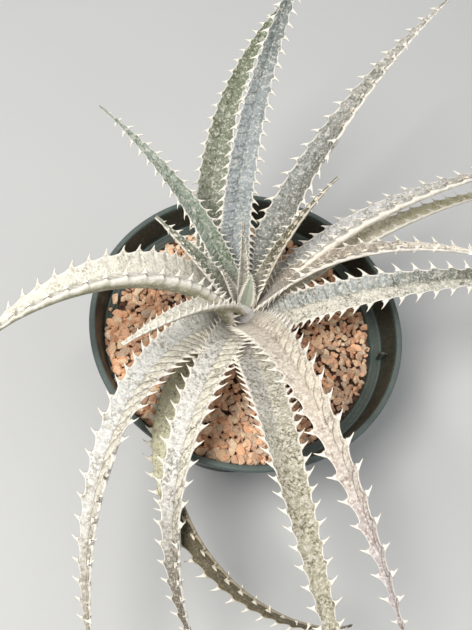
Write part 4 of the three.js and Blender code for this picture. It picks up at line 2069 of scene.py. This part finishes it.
@dataclass
class Rosette:
    """All the leaves, from the heart outwards.

    Each row holds a leaf's kind, its slot, its edge and its run. The runs repeat the leaf table of
    the part's source. Their numbers were fitted and rounded by a separate program, all but the root
    and the height and, in the first leaf, the width and the taper. Those and the edges were chosen
    one by one.
    """

    rows: tuple[tuple[LeafKind, str, Edge, Run], ...] = (
        # Edge: spacing, crowded, reach, then the rolled margin's side, start and share. Run: azimuth,
        # sweep, bend, rise, droop, arch, length, width, taper, twist, turn, root, height.
        (LeafKind.BUD, "young_leaf", Edge(2.8, 30, 3.8),
         Run(97, 6, 1.5, 74, 5, 1.2, 28, 9.5, 2.6, -1, 0, 0, 12.5)),
        (LeafKind.HEART, "young_leaf", Edge(3.4, 40, 2.6, -1, 8, 0.15),
         Run(173, 14, 1.5, 72, 12, 1.2, 41, 9.5, 1.4, 6, 18, 3, 10)),
        (LeafKind.HEART, "young_leaf", Edge(4.5, 50, 2.2, 1, 8, 0.12),
         Run(128, -3, 1.5, 76, 10, 1.2, 68, 8, 1.4, 1, 7, 3, 10)),
        (LeafKind.CREAM, "pale_leaf", Edge(5.5, 60, 2.6, -1, 10, 0.34),
         Run(235, 2, 1.5, 66, 64, 1.1, 123, 14.5, 1.8, -15, 20, 3.5, 11)),
        (LeafKind.OLIVE, "young_leaf", Edge(6, 60, 3.8, -1, 8, 0.14),
         Run(185, -13, 1.5, 65, 31, 1.2, 93, 12.5, 1.6, 6, 24, 4, 10)),
        (LeafKind.DUSKY, "young_leaf", Edge(6.5, 60, 4.4, 1, 8, 0.16),
         Run(71, -19, 1.3, 66, 29, 1.1, 103, 10.5, 1.6, 20, 16, 4, 9)),
        (LeafKind.MOSS, "green_leaf", Edge(7.8, 90, 3.6),
         Run(146, 23, 0.7, 66, 40, 0.8, 158, 16, 1.6, -2, 32, 4, 6)),
        (LeafKind.BRONZE, "grey_leaf", Edge(11.5, 110, 5, 1, 30, 0.13),
         Run(59, -62, 0.6, 59, 56, 0.5, 176, 17.5, 1.4, 26, -11, 4, 4.5)),
        (LeafKind.BLUSH, "pale_leaf", Edge(13.5, 150, 4.6),
         Run(297, 14, 1.7, 61, 103, 1.3, 271, 24, 1.3, -13, -37, 4, 3)),
        (LeafKind.CREAM, "pale_leaf", Edge(10.5, 110, 5, -1, 12, 0.3),
         Run(193, 40, 0.7, 64, 101, 1.3, 202, 30.5, 2.2, -2, -17, 4, 1)),
        (LeafKind.SILVER, "grey_leaf", Edge(8.4, 130, 4.2),
         Run(139, -62, 0.5, 54, 18, 1.1, 234, 20, 2.2, -5, -13, 4, 1.5)),
        (LeafKind.DRIED, "pale_leaf", Edge(11.2, 120, 4.8, -1, 150, 0.1),
         Run(260, 66, 2.1, 56, 104, 0.6, 233, 20.5, 2.2, 6, -69, 4, 0)),
        (LeafKind.STONE, "grey_leaf", Edge(10.5, 110, 4.4, 1, 110, 0.12),
         Run(98, -44, 0.5, 54, 26, 0.7, 244, 22, 1.5, 7, 23, 4, -1.5)),
        (LeafKind.LILAC, "pale_leaf", Edge(12, 120, 5, 1, 30, 0.24),
         Run(65, -40, 0.6, 52, 44, 0.5, 214, 19, 2.1, 29, -10, 4, -4)),
        (LeafKind.CHALK, "pale_leaf", Edge(11.4, 150, 4.6, -1, 140, 0.1),
         Run(224, 83, 0.9, 48, 102, 0.9, 280, 26.5, 1.1, 21, -84, 4, -6)),
        (LeafKind.ASHEN, "grey_leaf", Edge(10.5, 110, 4.8),
         Run(15, 11, 1.5, 43, 74, 1.5, 217, 22, 1.7, -9, -17, 4, -7)),
        (LeafKind.FRECKLE, "pale_leaf", Edge(11, 220, 4.6),
         Run(292, 17, 1.9, 48, 87, 1.0, 284, 26, 1.4, 6, -18, 4, -9)),
        (LeafKind.OLIVE, "green_leaf", Edge(8.4, 120, 3.8),
         Run(161, -92, 0.5, 40, 27, 1.2, 230, 23, 1.9, 4, -21, 4, -10)),
        (LeafKind.LIME, "green_leaf", Edge(9, 120, 3.4, 1, 20, 0.2),
         Run(57, -24, 0.6, 31, 42, 1.2, 221, 15, 1.9, 7, 4, 4, -11.5)),
        (LeafKind.UMBER, "green_leaf", Edge(10.5, 150, 5, -1, 110, 0.12),
         Run(233, 166, 1.1, 15, 57, 1.5, 290, 15.5, 1.7, 4, -75, 4, -13.5)),
    )
    shape: LeafShape = LeafShape()
    habit: SpineHabit = SpineHabit()

    def build(self, effects: Effects) -> list[bpy.types.Object]:
        """Builds every leaf.

        Args:
            effects: The shared effects.

        Returns:
            The leaves.
        """
        thorn = Thorn()
        materials: dict[LeafKind, bpy.types.Material] = {}
        made = []
        for number, row in enumerate(self.rows, start=1):
            leaf = Leaf(f"leaf_{number:02d}", *row, self.shape, self.habit, thorn, seed=number)
            made.append(leaf.build(effects, materials))
        return made


# ---------------------------------------------------------------- studio


@dataclass(frozen=True)
class SoftLight:
    """A square soft light: where it hangs, its side, its watts and its colour."""

    name: str
    place: tuple[float, float, float]
    size: float
    power: float
    colour: Colour

    def hang(self, aim: tuple[float, float, float]) -> None:
        """Hangs the light, facing a point.

        Args:
            aim: The point.
        """
        lamp = bpy.data.lights.new(self.name, "AREA")
        lamp.energy, lamp.size, lamp.color = self.power, self.size, self.colour
        made = bpy.data.objects.new(self.name, lamp)
        made.location = self.place
        way = Vector(aim) - Vector(self.place)
        made.rotation_euler = way.to_track_quat("-Z", "Y").to_euler()
        bpy.context.scene.collection.objects.link(made)


@dataclass
class Studio:
    """Pale floor, soft light and the camera that looks down at the plant."""

    place: tuple[float, float, float] = (0.0, -0.3093, 0.6357)
    pan: float = -1.63
    tilt: float = 59.37
    roll: float = 15.19
    lens: float = 55.0
    sensor: float = 36.0
    lights: tuple[SoftLight, ...] = (
        SoftLight("key", (-0.45, -0.62, 1.45), 0.5, 24.0, (1.0, 0.985, 0.96)),
        SoftLight("fill", (1.1, -0.3, 1.2), 1.2, 4.0, (0.94, 0.97, 1.0)),
        SoftLight("back", (-0.2, 1.3, 1.1), 1.0, 5.0, (1.0, 1.0, 1.0)),
    )
    aim: tuple[float, float, float] = (0.0, 0.0, 0.12)
    sky: Colour = (0.9, 0.93, 1.0)
    sky_strength: float = 0.22
    floor_size: float = 8.0
    floor_squares: int = 4
    floor_tones: tuple[Colour, Colour] = ((0.60, 0.60, 0.585), (0.64, 0.64, 0.625))
    floor_speck: float = 6.0
    floor_roughness: float = 0.8

    def build(self) -> None:
        """Adds the floor, the lights, the world and the camera."""
        self.lay_floor()
        for light in self.lights:
            light.hang(self.aim)
        world = bpy.data.worlds.new("studio")
        world.use_nodes = True
        sky = world.node_tree.nodes["Background"]
        sky.inputs["Color"].default_value = (*self.sky, 1.0)
        sky.inputs["Strength"].default_value = self.sky_strength
        bpy.context.scene.world = world
        bpy.context.scene.view_settings.view_transform = "Standard"
        self.set_camera()

    def lay_floor(self) -> None:
        """Lays the pale floor."""
        deselect()
        squares = {"x_subdivisions": self.floor_squares, "y_subdivisions": self.floor_squares}
        bpy.ops.mesh.primitive_grid_add(**squares, size=self.floor_size)
        floor = bpy.context.object
        floor.name = "studio_floor"
        made, graph, shader = start_material("studio_floor")
        speck = graph.noise(graph.place(), self.floor_speck, detail=3.0, rough=0.5)
        graph.feed(shader.inputs["Base Color"], graph.mix(speck, *self.floor_tones))
        shader.inputs["Roughness"].default_value = self.floor_roughness
        floor.data.materials.append(made)

    def set_camera(self) -> None:
        """Sets the camera by its pan, its tilt down and its roll."""
        pan, tilt, roll = (math.radians(v) for v in (self.pan, self.tilt, self.roll))
        ahead = Vector((math.sin(pan) * math.cos(tilt), math.cos(pan) * math.cos(tilt), -math.sin(tilt)))
        level = Vector((math.cos(pan), -math.sin(pan), 0))
        above = level.cross(ahead)
        right = level * math.cos(roll) + above * math.sin(roll)
        up = above * math.cos(roll) - level * math.sin(roll)
        lens = bpy.data.cameras.new("view")
        lens.lens = self.lens
        lens.sensor_width = self.sensor
        made = bpy.data.objects.new("view", lens)
        turn = Matrix((right, up, -ahead)).transposed().to_4x4()
        made.matrix_world = Matrix.Translation(self.place) @ turn
        bpy.context.scene.collection.objects.link(made)
        bpy.context.scene.camera = made


def main() -> None:
    """Builds the pot, the gravel, the stem and the leaves, and then the studio."""
    logging.basicConfig(level=logging.INFO, format="%(name)s: %(message)s")
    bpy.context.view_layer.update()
    effects = Effects()
    for part in (NurseryPot(), Gravel(), Crown(), Rosette()):
        for piece in part.build(effects):
            log.info("built %s with %d faces", piece.name, len(piece.data.polygons))
    Studio().build()
    log.info("set up the studio")


if __name__ == "__main__":
    main()
